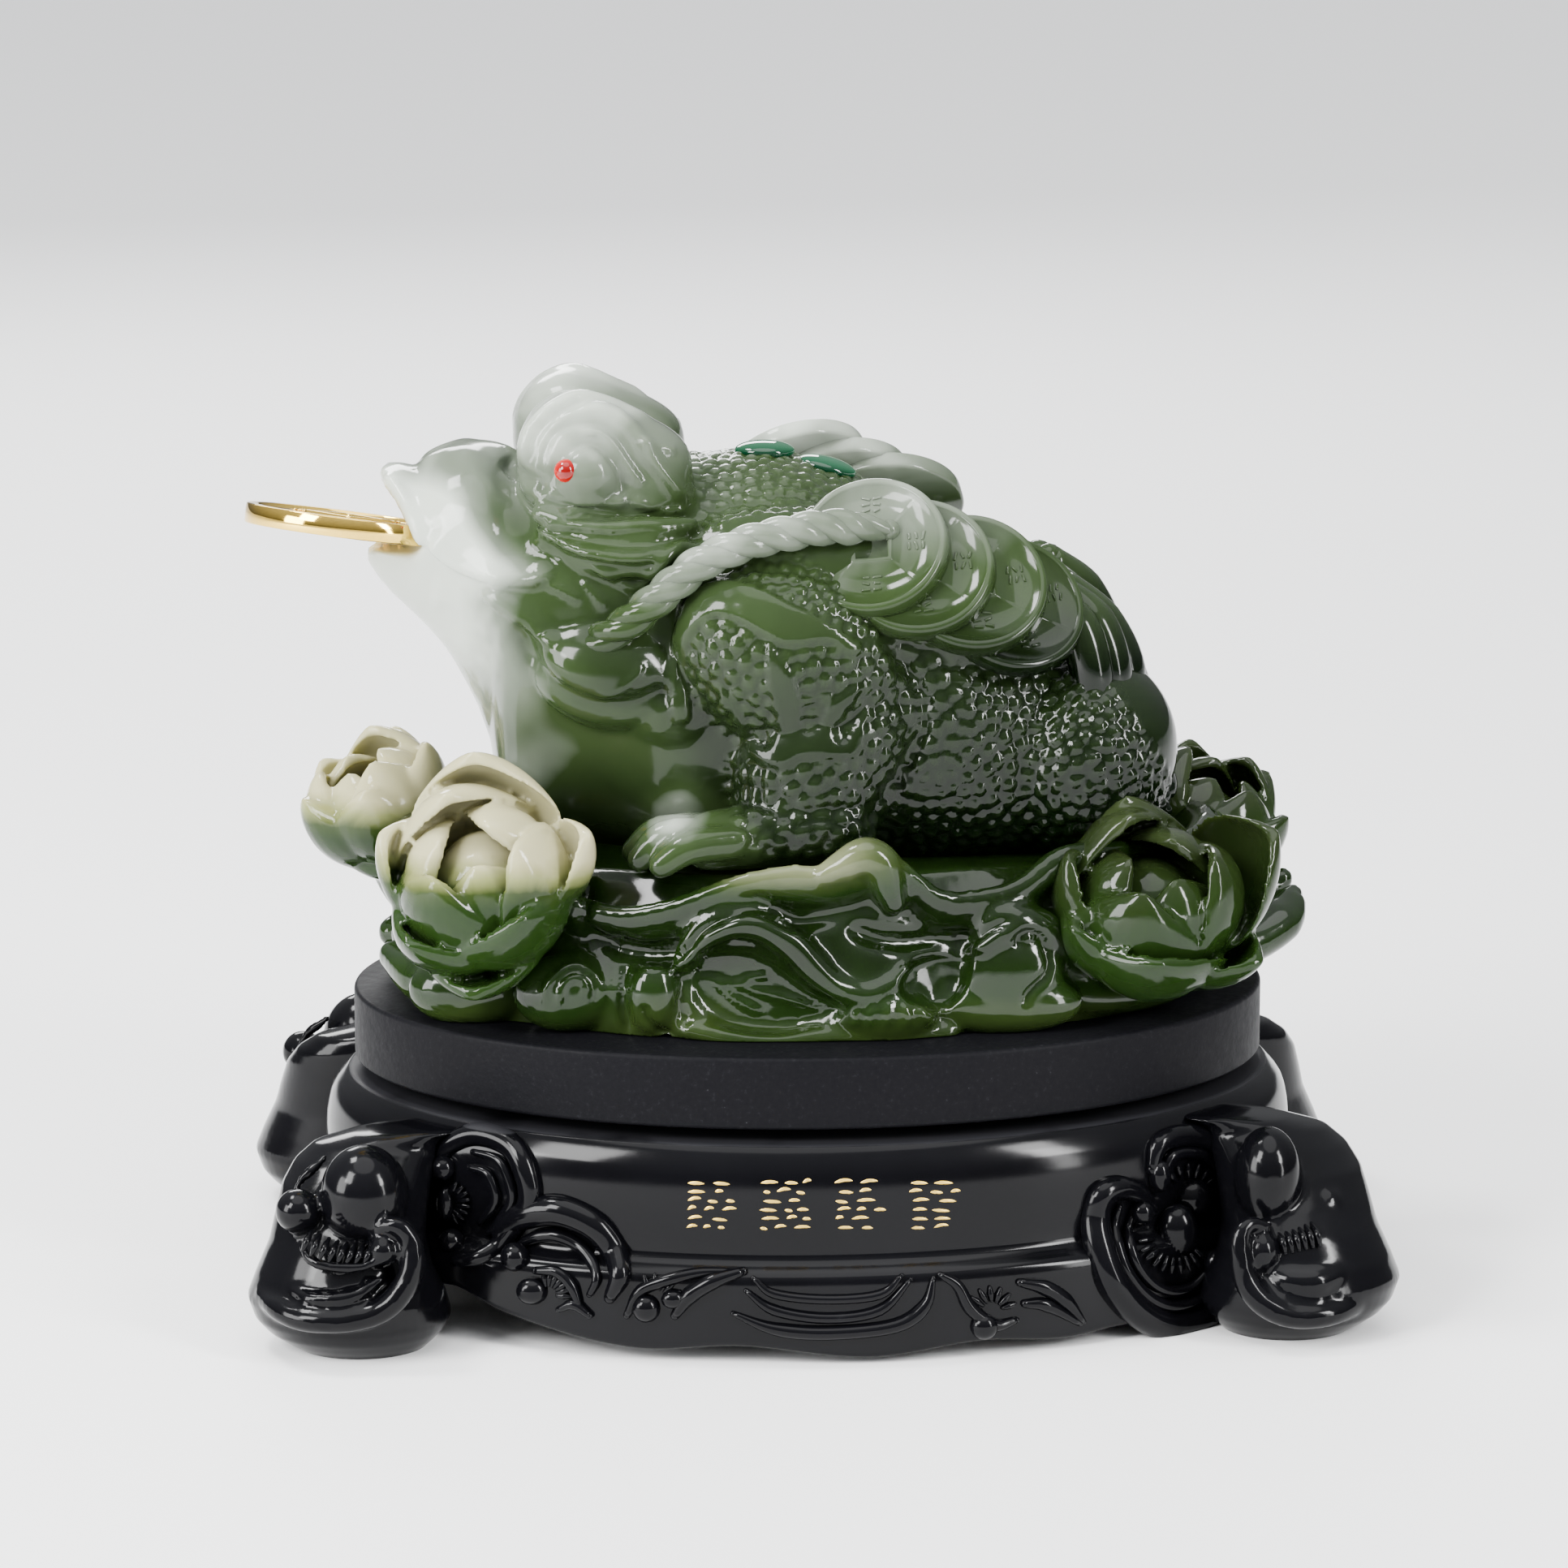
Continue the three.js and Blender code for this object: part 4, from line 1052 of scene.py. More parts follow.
def rope(bm, route):
    """Three strands twisted about the route."""
    path = spline(route, 9)
    frames = frames_along(path)
    lengths = [0.0]
    for a, b in zip(path, path[1:]):
        lengths.append(lengths[-1] + (b - a).length)
    total = lengths[-1]
    for strand in range(3):
        rings = []
        for centre, (across, up), length in zip(path, frames, lengths):
            taper = 0.55 + 0.45 * smoothstep(0, 12, length) * smoothstep(0, 8, total - length + 4)
            turn = math.tau * (strand / 3 + length / ROPE_PITCH)
            outward = across * math.cos(turn) + up * math.sin(turn)
            middle = centre + outward * (ROPE_RADIUS * STRAND_OFFSET * taper)
            rings.append(round_ring(middle, across, up, ROPE_RADIUS * STRAND_THICKNESS * taper, 16))
        loft(bm, rings)
    ball(bm, path[0], (ROPE_RADIUS * 0.6,) * 3)


def tassel(bm, side):
    """The smooth tail that hangs behind the coins, with shallow grooves down it."""
    routes = (((56, -26, 103), (64, -31, 96), (67.5, -33.5, 84), (68, -33, 70)),
              ((60, -22, 104), (68.5, -27, 96), (72.5, -30, 84), (72, -30, 69)),
              ((62, -17, 104), (71, -21, 95), (76.5, -24, 83), (75.5, -25, 69)))
    for route in routes:
        bar(bm, [on_side(p, side) for p in route], (3.5, 5.4, 5.6, 4.4), sides=24)


class OBJECT_OT_toad_coin_strings(bpy.types.Operator):
    """Models the twisted ropes, the overlapping coins and the tassels on both flanks"""
    bl_idname = "object.toad_coin_strings"
    bl_label = "Coin Strings"

    def execute(self, context):
        material = jade_material("jade_coins", shift=-0.29)
        for name, side, string in (("near", -1, NEAR_STRING), ("far", 1, FAR_STRING)):
            bm = bmesh.new()
            for k, coin in enumerate(STRING_COINS[:string["coins"]]):
                string_coin(bm, side, string, coin, 10 * side + k)
            rope(bm, [on_side(p, side) for p in ROPE_ROUTE])
            tassel(bm, side)
            mesh = plain_mesh("coin_string", bm, FIGURE_Z)
            deepen_downwards(mesh, 182, 155, 0.4)
            finish_piece(f"coin_string_{name}", mesh, material, "turntable", ["jade_toad"])
        return {"FINISHED"}


# Lotus leaf, with the rim's height at degrees from the front middle
LEAF_HALF_LENGTH = 101.0
LEAF_HALF_WIDTH = 62.0
LEAF_TOP = 40.0
RIM_ROLL = 4.4
LEAF_SIDES = 160
RIM_WAVE = ((-180, 41), (-150, 44), (-120, 38), (-90, 42), (-60, 40), (-46, 38), (-38, 34), (-30, 31.5),
            (-22, 34), (-13, 40), (-5, 43), (0, 42.5), (5, 44), (9, 46), (12, 42), (16, 36), (21, 35),
            (28, 37), (36, 44), (60, 41), (90, 42), (120, 38), (150, 44), (180, 41))


def leaf_ring(height_at, grow, fold=0.0):
    """A ring of the leaf. Its height follows the rim's wave."""
    points = []
    for k in range(LEAF_SIDES):
        degrees = 360 * k / LEAF_SIDES - 180
        z = height_at(along(RIM_WAVE, degrees))
        a = math.radians(degrees - 90)
        swell = grow + 0.045 * fold * math.sin(math.radians(degrees * 11) + z / 14)
        points.append((LEAF_HALF_LENGTH * swell * math.cos(a), LEAF_HALF_WIDTH * swell * math.sin(a), z))
    return points


def on_leaf(pixel, lift):
    """The point of the leaf's wall that a pixel shows, in the figure's own heights."""
    return on_oval(pixel, LEAF_HALF_LENGTH, LEAF_HALF_WIDTH, lift) - Vector((0, 0, FIGURE_Z))


def leaf_bar(bm, pixels, radii, lift):
    """A fold along the leaf's wall, with its like on the far side."""
    bar_pair(bm, [on_leaf(pixel, lift) for pixel in pixels], radii, 20)


def leaf_ball(bm, pixel, radii, lift):
    """A swelling of the leaf's wall, with its like on the far side."""
    ball_pair(bm, on_leaf(pixel, lift), radii)


# The leaf's folds, hollows, veins and curls, in the photograph's pixels
S_FOLD = ((846, 1182), (866, 1150), (903, 1133), (940, 1137), (974, 1160), (1003, 1192), (1029, 1214),
          (1062, 1224), (1092, 1215), (1118, 1194))
UNDER_RIM = (((722, 1137), (774, 1171), (826, 1174), (848, 1168), (863, 1145), (907, 1120), (937, 1117),
              (981, 1134), (1033, 1129)),
             ((1040, 1137), (1070, 1154), (1107, 1161), (1144, 1159), (1188, 1158), (1225, 1141),
              (1255, 1127)))
S_FOLD_UNDER = ((848, 1190), (878, 1180), (922, 1180), (959, 1200), (996, 1228), (1033, 1250))
VEINS = (((858, 1205), (907, 1214), (937, 1222), (989, 1236), (1029, 1247)),
         ((880, 1212), (905, 1230), (940, 1250)), ((905, 1214), (930, 1204), (950, 1202)))
VEINED_HOLLOW = ((851, 1190), (850, 1215), (866, 1243), (903, 1264), (959, 1270), (1003, 1262), (1033, 1250),
                 (1030, 1240), (996, 1224), (959, 1202), (922, 1184), (878, 1184))
RIGHT_HOLLOW = ((1116, 1200), (1136, 1182), (1186, 1170), (1190, 1204), (1168, 1238), (1136, 1236),
                (1114, 1222))
CURL_EDGES = (((841, 1182), (843, 1215), (839, 1240), (850, 1267)), ((772, 1185), (767, 1215), (768, 1245),
              (776, 1274)), ((792, 1237), (797, 1256), (811, 1270), (829, 1277)))
FIST_ARCS = (((672, 1240), (676, 1215), (700, 1193), (722, 1196), (738, 1214), (740, 1245)),
             ((690, 1240), (694, 1216), (706, 1206), (718, 1210), (724, 1230)))
FAN_LINES = (((1057, 1237), (1052, 1268)), ((1077, 1236), (1070, 1268)), ((1096, 1230), (1092, 1268)),
             ((1112, 1236), (1122, 1266)), ((1128, 1242), (1150, 1262)))
THROAT_LINE = ((732, 1080), (722, 1110), (719, 1135), (728, 1150), (753, 1163), (772, 1175))
CURL_HOOK = ((1255, 1172), (1256, 1158), (1269, 1151), (1282, 1157), (1289, 1170), (1293, 1188),
             (1288, 1203), (1274, 1216), (1264, 1228), (1264, 1246))


def leaf_forms():
    """The leaf's wall and rim, with its larger folds, before they get one skin."""
    bm = bmesh.new()
    r = RIM_ROLL
    loft(bm, [leaf_ring(lambda rim: -4, 0.985, 0.2), leaf_ring(lambda rim: 2.5, 1.01, 0.5),
              leaf_ring(lambda rim: 12, 1.015, 0.8), leaf_ring(lambda rim: rim - 3.6 * r, 0.985, 0.3),
              leaf_ring(lambda rim: rim - 2.6 * r, 0.955), leaf_ring(lambda rim: rim - 1.7 * r, 1.0),
              leaf_ring(lambda rim: rim - 0.9 * r, 1.03), leaf_ring(lambda rim: rim - 0.2 * r, 1.03),
              leaf_ring(lambda rim: rim + 0.2 * r, 1.0), leaf_ring(lambda rim: rim - 0.1 * r, 0.965),
              leaf_ring(lambda rim: min(rim - 0.8 * r, LEAF_TOP + 1), 0.935),
              leaf_ring(lambda rim: min(rim - 1.2 * r, LEAF_TOP), 0.9),
              leaf_ring(lambda rim: LEAF_TOP - 2, 0.8), leaf_ring(lambda rim: LEAF_TOP - 2, 0.3)])
    leaf_bar(bm, S_FOLD, (3.4, 4.2, 4.6, 4.6, 4.4, 4.2, 3.8, 3.4, 3, 2), 1.5)
    leaf_bar(bm, ((1016, 1078), (1040, 1066), (1066, 1055), (1086, 1066), (1094, 1090), (1100, 1112)),
             (3, 4.2, 5, 5, 4.2, 3.2), 0.5)
    leaf_bar(bm, ((848, 1268), (900, 1279), (960, 1283), (1030, 1276), (1100, 1280), (1170, 1270)),
             (2.5, 3, 2.6, 2.6, 3, 2.4), 0.5)
    leaf_ball(bm, (806, 1228), (6.5, 5, 9.5), 0.5)
    leaf_ball(bm, (700, 1222), (13.5, 8, 10), 0.5)
    leaf_ball(bm, (590, 1216), (17, 10, 10), 1.0)
    leaf_ball(bm, (1090, 1248), (13, 5, 7), 0.5)
    leaf_ball(bm, (1240, 1205), (14, 7, 14), 0.5)
    leaf_ball(bm, (1236, 1236), (20, 7, 8), 0.0)
    leaf_bar(bm, ((1208, 1158), (1228, 1141), (1258, 1137), (1285, 1148), (1300, 1170), (1296, 1190)),
             (4, 5.5, 5.6, 5, 4, 2.6), 1.5)
    leaf_bar(bm, ((1290, 1218), (1340, 1228), (1400, 1224), (1445, 1208), (1480, 1190)),
             (3, 4, 4.2, 4.2, 3.6), 1.0)
    for side in (1, -1):
        bar(bm, ((94, -22 * side, 12), (107, -18 * side, 12), (117, -13 * side, 16), (122, -9 * side, 21)),
            (6, 6.5, 6, 3), sides=20, flat=1.6)
        bar(bm, ((-88, -30 * side, 6), (-98, -24 * side, 8), (-105, -12 * side, 10)), (7, 7, 4), sides=20)
    return bm


def carve_leaf(clay):
    """Cuts the leaf's veins, hollows and curls."""
    for line in UNDER_RIM:
        clay.line(line, 2.4, -2.4, mark=1.0)
    clay.line(S_FOLD_UNDER, 1.8, -1.6, mark=1.0)
    clay.area(VEINED_HOLLOW, -2.2, 4.0)
    clay.area(RIGHT_HOLLOW, -2.6, 4.0)
    for line in VEINS:
        clay.line(line, 0.9, 0.8, mark=0.6)
    for line in CURL_EDGES:
        clay.line(line, 1.1, -1.3, mark=1.0)
    for line in FIST_ARCS:
        clay.line(line, 1.2, 1.2, sharp=0.5, mark=0.6)
    for line in FAN_LINES:
        clay.line(line, 1.2, 1.1, fade=0.3, mark=0.4)
    clay.line(THROAT_LINE, 1.4, -1.6, mark=1.0)
    clay.line(CURL_HOOK, 1.2, -1.6, sharp=0.5, mark=1.0)


class OBJECT_OT_toad_leaf(bpy.types.Operator):
    """Models the lotus leaf with its rolled rim and curled folds"""
    bl_idname = "object.toad_leaf"
    bl_label = "Lotus Leaf"

    def execute(self, context):
        sizes = context.scene.toad_sizes
        mesh = skin("lotus_leaf", leaf_forms(), sizes.leaf_grain, 4, FIGURE_Z)
        cut_below(mesh, FIGURE_Z)
        clay = Clay(mesh)
        carve_leaf(clay)
        finish_piece("lotus_leaf", clay.done(), leaf_material(), "turntable", ["jade_toad"])
        return {"FINISHED"}


# Flowers. A petal has the degrees round the flower's axis, its length, its half width, the degrees that it
# leans outward at its foot and at its tip, and how deeply it is cupped.
PETAL_WIDTHS = ((0, 0.5), (0.2, 0.8), (0.45, 1.0), (0.68, 0.99), (0.84, 0.8), (0.94, 0.52), (1, 0.15))
PETAL_STEPS = 22
PETAL_SIDES = 28
FLOWERS = {
    "flower_front_left": {
        "place": (-80, -36, 27.5), "lean": 46, "bearing": -18, "size": 1.0, "tint": "cream",
        "petals": ((95, 52, 20, 88, -38, 0.5), (12, 45, 13, 84, -6, 0.6), (-48, 42, 19, 95, -28, 0.5),
                   (172, 43, 16, 92, -26, 0.55), (-118, 39, 17, 100, -14, 0.5), (-85, 33, 16, 106, 24, 0.45)),
    },
    "flower_back_left": {
        "place": (-104, 28, 29), "lean": 24, "bearing": -60, "size": 0.84, "tint": "cream",
        "petals": ((-100, 41, 17, 86, -30, 0.6), (-28, 42, 17, 82, -28, 0.6), (44, 43, 17, 78, -22, 0.6),
                   (116, 42, 17, 82, -26, 0.6), (-172, 41, 17, 86, -30, 0.6)),
    },
    "flower_front_right": {
        "place": (81, -38, 18), "lean": 38, "bearing": 4, "size": 1.0, "tint": "green",
        "petals": ((170, 44, 19, 92, -32, 0.6), (108, 46, 18, 84, -38, 0.55), (12, 50, 19, 86, -14, 0.5),
                   (-42, 38, 13, 98, 12, 0.6), (-98, 41, 20, 98, -18, 0.5), (-150, 38, 16, 98, -14, 0.55)),
    },
    "flower_back_right": {
        "place": (100, 26, 22), "lean": 22, "bearing": 60, "size": 0.86, "tint": "green",
        "petals": ((-90, 41, 17, 86, -22, 0.6), (-18, 42, 17, 80, -26, 0.6), (54, 42, 17, 78, -22, 0.6),
                   (126, 42, 17, 82, -26, 0.6), (-162, 40, 17, 86, -22, 0.6)),
    },
}
# Size of one facet of a flower
PETAL_GRAIN = 0.8
# The petals that close over the heart of every flower
HEART_PETALS = ((122, 50, 19, 86, -62, 0.5), (-8, 48, 18, 86, -60, 0.5), (-118, 46, 18, 88, -62, 0.5),
                (55, 46, 17, 82, -76, 0.5), (-62, 44, 17, 84, -78, 0.5), (178, 44, 16, 84, -74, 0.5),
                (100, 34, 13, 78, -84, 0.5), (-20, 34, 13, 78, -84, 0.5), (-140, 34, 13, 78, -84, 0.5))


def petal(bm, matrix, data):
    """A cupped petal with a thick rounded edge."""
    bearing, length, half_width, foot_lean, tip_lean, cup = data
    turned = matrix @ Matrix.Rotation(math.radians(bearing), 4, "Z")
    reach, height = 2.0, -2.0
    rings = []
    for i in range(PETAL_STEPS + 1):
        u = i / PETAL_STEPS
        lean = math.radians(foot_lean + (tip_lean - foot_lean) * u)
        width = half_width * along(PETAL_WIDTHS, u)
        thick = 2.9 - 1.3 * u
        points = []
        for a in angles(PETAL_SIDES):
            v = math.cos(a)
            bend = cup * width * v * v
            skin_side = thick * math.sin(a)
            points.append((reach + math.cos(lean) * (skin_side - bend), width * v * (1 - 0.12 * cup * v * v),
                           height - math.sin(lean) * (skin_side - bend)))
        rings.append(placed(points, turned))
        reach += length / PETAL_STEPS * math.sin(lean)
        height += length / PETAL_STEPS * math.cos(lean)
    loft(bm, rings)


def flower_forms(data):
    """A flower's petals, its heart, and the stalk that joins it to the leaf."""
    bm = bmesh.new()
    size = data["size"]
    matrix = (Matrix.Translation(data["place"]) @ Matrix.Rotation(math.radians(data["bearing"]), 4, "Z")
              @ Matrix.Rotation(math.radians(data["lean"]), 4, "X") @ Matrix.Scale(size, 4))
    for item in (*data["petals"], *HEART_PETALS):
        petal(bm, matrix, item)
    ball(bm, matrix @ Vector((0, 0, 1)), (17 * size, 17 * size, 8 * size), (data["lean"], 0, 0))
    ball(bm, matrix @ Vector((0, 0, 12)), (12 * size,) * 3, level=4)
    x, y, z = data["place"]
    bar(bm, [(x, y, z + 1), (0.93 * x, 0.9 * y, 0.7 * z), (0.8 * x, 0.72 * y, 12)], (9, 11, 12), sides=20)
    return bm


class OBJECT_OT_toad_flowers(bpy.types.Operator):
    """Models the four lotus flowers at the ends of the leaf"""
    bl_idname = "object.toad_flowers"
    bl_label = "Flowers"

    def execute(self, context):
        materials = {"cream": flower_material("jade_cream", True),
                     "green": flower_material("jade_green", False)}
        for name, data in FLOWERS.items():
            mesh = Clay(skin(name, flower_forms(data), PETAL_GRAIN, 2, FIGURE_Z)).done()
            finish_piece(name, mesh, materials[data["tint"]], "turntable", ["jade_toad"])
        return {"FINISHED"}


# Gold coin, eyes and stones

# The coin's middle, its tilt and roll in degrees, half its rim's and its field's thickness, its radius and
# half the width of its hole
COIN_CENTRE = (-115, 0, 117.5)
COIN_NOSE_UP = 8
COIN_ROLL = -8
COIN_HALF = 2.5
COIN_FIELD = 1.6
COIN_RADIUS = 25.5
COIN_HOLE = 6.0
# The stones with the degrees that each slopes down to the rear, and their common radii
STONE_RADII = (7.5, 6, 2.5)
STONES = (("back_stone_1", 1), ("back_stone_2", 15), ("back_stone_3", 24))


class OBJECT_OT_toad_gold_coin(bpy.types.Operator):
    """Models the gold coin in the toad's mouth"""
    bl_idname = "object.toad_gold_coin"
    bl_label = "Gold Coin"

    def execute(self, context):
        matrix = (Matrix.Translation(COIN_CENTRE) @ Matrix.Rotation(math.radians(COIN_NOSE_UP), 4, "Y")
                  @ Matrix.Rotation(math.radians(COIN_ROLL), 4, "X"))
        half, field, radius, hole = COIN_HALF, COIN_FIELD, COIN_RADIUS, COIN_HOLE
        upper = [coin_square(hole, field - 0.3), coin_square(hole + 0.1, half - 0.2),
                 coin_square(hole + 0.4, half - 0.08), coin_square(hole + 1.3, half - 0.05),
                 coin_square(hole + 1.6, half - 0.2), coin_square(hole + 1.7, field + 0.04),
                 coin_circle(radius - 3.0, field), coin_circle(radius - 2.8, half - 0.15),
                 coin_circle(radius - 2.6, half - 0.04), coin_circle(radius - 0.6, half),
                 coin_circle(radius - 0.3, half - 0.1), coin_circle(radius - 0.15, half - 0.3),
                 coin_circle(radius, 0.1)]
        lower = [[(x, y, -z) for x, y, z in points] for points in reversed(upper)]
        turned = matrix @ Matrix.Rotation(math.radians(45), 4, "Z")
        bm = bmesh.new()
        loft(bm, [placed(points, turned) for points in (*upper, *lower)], endless=True)
        coin_marks(bm, turned, 15.0, field, 77)
        coin_marks(bm, turned @ Matrix.Rotation(math.pi, 4, "X"), 15.0, field, 78)
        mesh = plain_mesh("gold_coin", bm, FIGURE_Z)
        material = gold_material("polished_gold", 1.0, 40.0, ((0.3, 1.0), (0.7, 0.9)),
                                 (0.05, 0.06, 90.0, 0.05))
        finish_piece("gold_coin_polished", mesh, material, "turntable", ["gold_coin"])
        return {"FINISHED"}


def gold_material(name, metallic, grain, stops, polish):
    """Gold of an uneven tone. A stop has its place and its share of the full colour."""
    gold = bpy.context.scene.toad_finish.gold
    material, tree, principled = new_material(name, {"Metallic": metallic})
    tone = node(tree, "ShaderNodeTexNoise", {"Scale": grain}).outputs["Fac"]
    colour_along(tree, principled, tone, [(place, times(gold, share)) for place, share in stops])
    add_polish(tree, principled, *polish)
    return material


# How much of its colour the glass keeps in its middle
GLASS_DEPTH = 0.25


def glass_material(name, colour):
    """Tinted glass that darkens towards its middle."""
    material, tree, principled = new_material(name, {"IOR": 1.4, "Coat Weight": 0.3, "Coat Roughness": 0.01})
    facing = node(tree, "ShaderNodeLayerWeight", {"Blend": 0.35}).outputs["Facing"]
    colour_along(tree, principled, facing, [(0.0, times(colour, GLASS_DEPTH)), (0.8, colour)])
    add_polish(tree, principled, 0.03, 0.04, 200.0, 0.02)
    return material


class OBJECT_OT_toad_glass(bpy.types.Operator):
    """Models the red glass eyes and the green glass stones along the back"""
    bl_idname = "object.toad_glass"
    bl_label = "Glass Eyes and Stones"

    def execute(self, context):
        red = glass_material("red_glass", (0.55, 0.002, 0.002))
        green = glass_material("green_glass", (0.0, 0.085, 0.03))
        for name in ("eye_near", "eye_far"):
            low, high = node_box(name)
            bm = bmesh.new()
            ball(bm, (low + high) / 2, (high - low) / 2, level=4)
            finish_piece(name + "_bead", plain_mesh(name, bm), red, "turntable", [name])
        for name, slope in STONES:
            low, high = node_box(name)
            bm = bmesh.new()
            ball(bm, (low + high) / 2, STONE_RADII, (0, slope, 0), level=5)
            finish_piece(name + "_cabochon", plain_mesh(name, bm), green, "turntable", [name])
        return {"FINISHED"}


# Turning board and its bearing

# The radius of the board's rounded edge
BOARD_EDGE = 1.2
BOARD_SIDES = 256


class OBJECT_OT_toad_board(bpy.types.Operator):
    """Models the oval turning board and gives the bearing its finish"""
    bl_idname = "object.toad_board"
    bl_label = "Turning Board"

    def execute(self, context):
        middle = (BOARD_LOW + BOARD_HIGH) / 2
        profile = [(BOARD_EDGE * (math.sin(a) - 1), -BOARD_HALF.z + BOARD_EDGE * (1 - math.cos(a)))
                   for a in (math.radians(90 * k / 6) for k in range(7))]
        profile += [(inset, -height) for inset, height in reversed(profile)]
        bm = bmesh.new()
        loft(bm, [oval(BOARD_HALF.x + inset, BOARD_HALF.y + inset, middle.z + height, angles(BOARD_SIDES))
                  for inset, height in profile])
        mesh = plain_mesh("board", bm)
        finish_piece("board_lacquered", mesh, board_material(), "turntable", ["turning_board"])
        material, tree, principled = new_material("turned_steel", {"Base Color": (0.42, 0.43, 0.44, 1),
                                                                   "Metallic": 1.0})
        add_polish(tree, principled, 0.3, 0.15, 150.0, 0.1)
        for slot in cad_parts["turning_bearing"].material_slots:
            slot.material = material
        return {"FINISHED"}


# Carved stand
DECK_HALF_LENGTH = 116.5
DECK_HALF_WIDTH = 81.5
SKIRT_GROWTH = STAND_HALF.y / DECK_HALF_WIDTH
# How thick the stand's wall and its deck are, and the heights of the cavity's lower rings
STAND_WALL = 11.0
STAND_DECK = 10.0
CAVITY_FOOT = (20, 14)
# The wall's swell by level, the level of its lower edge by degrees, and the levels of its rings
SKIRT_PROFILE = ((0, 1), (0.14, 1), (0.36, 0.92), (0.42, 0.86), (0.48, 0.42), (0.72, 0.45), (0.9, 0.32),
                 (1, 0))
SKIRT_EDGE = ((-90, 0.2), (-66, 0.1), (-46, 0.26), (-38, 0.17), (-22, 0.06), (-10, 0.09), (4, 0.03),
              (16, 0.08), (26, 0.05), (34, 0.07), (46, 0.03), (53, 0.1), (66, 0.1), (90, 0.2))
WALL_LEVELS = (0, 0.02, 0.06, 0.12, 0.2, 0.28, 0.36, 0.4, 0.42, 0.435, 0.45, 0.465, 0.48, 0.5, 0.56, 0.62,
               0.68, 0.74, 0.8, 0.86, 0.9, 0.94, 0.97, 0.99, 1)
WALL_SIDES = 240


def wall_ring(level, inset=0.0):
    """The stand's outline at a level, over the wavy lower edge."""
    points = []
    for k in range(WALL_SIDES):
        degrees = 360 * k / WALL_SIDES
        edge = along(SKIRT_EDGE, (degrees + 90) % 180 - 90)
        here = max(level, edge + level * 0.5)
        growth = 1 + (SKIRT_GROWTH - 1) * along(SKIRT_PROFILE, here)
        a = math.radians(degrees - 90)
        points.append(((DECK_HALF_LENGTH * growth - inset) * math.cos(a),
                       (DECK_HALF_WIDTH * growth - inset) * math.sin(a), here * STAND_HEIGHT))
    return points


def stand_wall():
    """The stand's wall and deck, hollow below."""
    outer = [wall_ring(0, 4.0), wall_ring(0, 0.8), *[wall_ring(level) for level in WALL_LEVELS[1:-1]],
             wall_ring(0.999, 0.3), wall_ring(1, 1.4)]
    top = STAND_HEIGHT - STAND_DECK
    turns = [math.radians(360 * k / WALL_SIDES - 90) for k in range(WALL_SIDES)]
    inner = [oval(DECK_HALF_LENGTH - STAND_WALL - inset, DECK_HALF_WIDTH - STAND_WALL - inset, z, turns)
             for z, inset in ((top, 1.0), (top - 1, 0.0), *[(z, 0.0) for z in CAVITY_FOOT])]
    bm = bmesh.new()
    loft(bm, [*inner, *outer])
    return bm


def on_stand(pixel, lift):
    """The point of the stand's wall that a pixel shows, lifted off the wall."""
    growth = 1.05
    for _ in range(8):
        point = on_oval(pixel, DECK_HALF_LENGTH * growth, DECK_HALF_WIDTH * growth)
        level = min(max(point.z / STAND_HEIGHT, 0), 1)
        growth += 0.6 * (1 + (SKIRT_GROWTH - 1) * along(SKIRT_PROFILE, level) - growth)
    return on_oval(pixel, DECK_HALF_LENGTH * growth, DECK_HALF_WIDTH * growth, lift)


def stand_bar(bm, pixels, radii, lift):
    """A scroll along the wall, repeated on the back half-turned."""
    points = [on_stand(pixel, lift) for pixel in pixels]
    for turn in (1, -1):
        bar(bm, [(x * turn, y * turn, z) for x, y, z in points], radii, sides=14)


def stand_ball(bm, pixel, radii, lift):
    """A bead on the wall, repeated on the back half-turned."""
    x, y, z = on_stand(pixel, lift)
    for turn in (1, -1):
        ball(bm, (x * turn, y * turn, z), radii)


def shrunk(pixels, centre, share):
    """A route drawn in towards a centre to a share of its size."""
    return [(centre[0] + (x - centre[0]) * share, centre[1] + (y - centre[1]) * share) for x, y in pixels]


def fringe(bm, centre, radii, turns, count, lift=0.8):
    """A row of short ribs round a bead, between two radii in pixels and two angles in degrees."""
    for k in range(count):
        a = math.radians(turns[0] + (turns[1] - turns[0]) * k / (count - 1))
        inner, outer = [(centre[0] + r * math.cos(a), centre[1] - r * math.sin(a)) for r in radii]
        middle, = shrunk([inner], outer, 0.5)
        stand_bar(bm, [inner, middle, outer], (0.5, 0.85, 0.5), lift)


# The stand's scrolls, in the photograph's pixels
UPPER_SCROLL = ((540, 1436), (556, 1409), (590, 1397), (629, 1409), (647, 1437), (654, 1478), (634, 1511),
                (615, 1534), (590, 1549), (559, 1553))
COMMA_SCROLL = ((617, 1532), (624, 1510), (652, 1495), (690, 1491), (732, 1509), (757, 1540), (764, 1571),
                (752, 1598))
RIGHT_SCROLL = ((1418, 1440), (1426, 1410), (1450, 1399), (1482, 1403), (1508, 1425), (1520, 1456),
                (1518, 1482))
BIG_SCROLL = ((1419, 1490), (1404, 1472), (1380, 1463), (1356, 1472), (1348, 1500), (1354, 1538),
              (1370, 1579), (1402, 1617), (1439, 1632), (1482, 1622), (1512, 1593), (1519, 1560),
              (1504, 1541))
CRESCENTS = (((928, 1574), (954, 1594), (1019, 1601), (1084, 1595), (1111, 1571)),
             ((919, 1590), (954, 1614), (1019, 1624), (1084, 1614), (1122, 1576)),
             ((903, 1618), (954, 1637), (1023, 1642), (1104, 1633), (1140, 1608), (1150, 1574)))


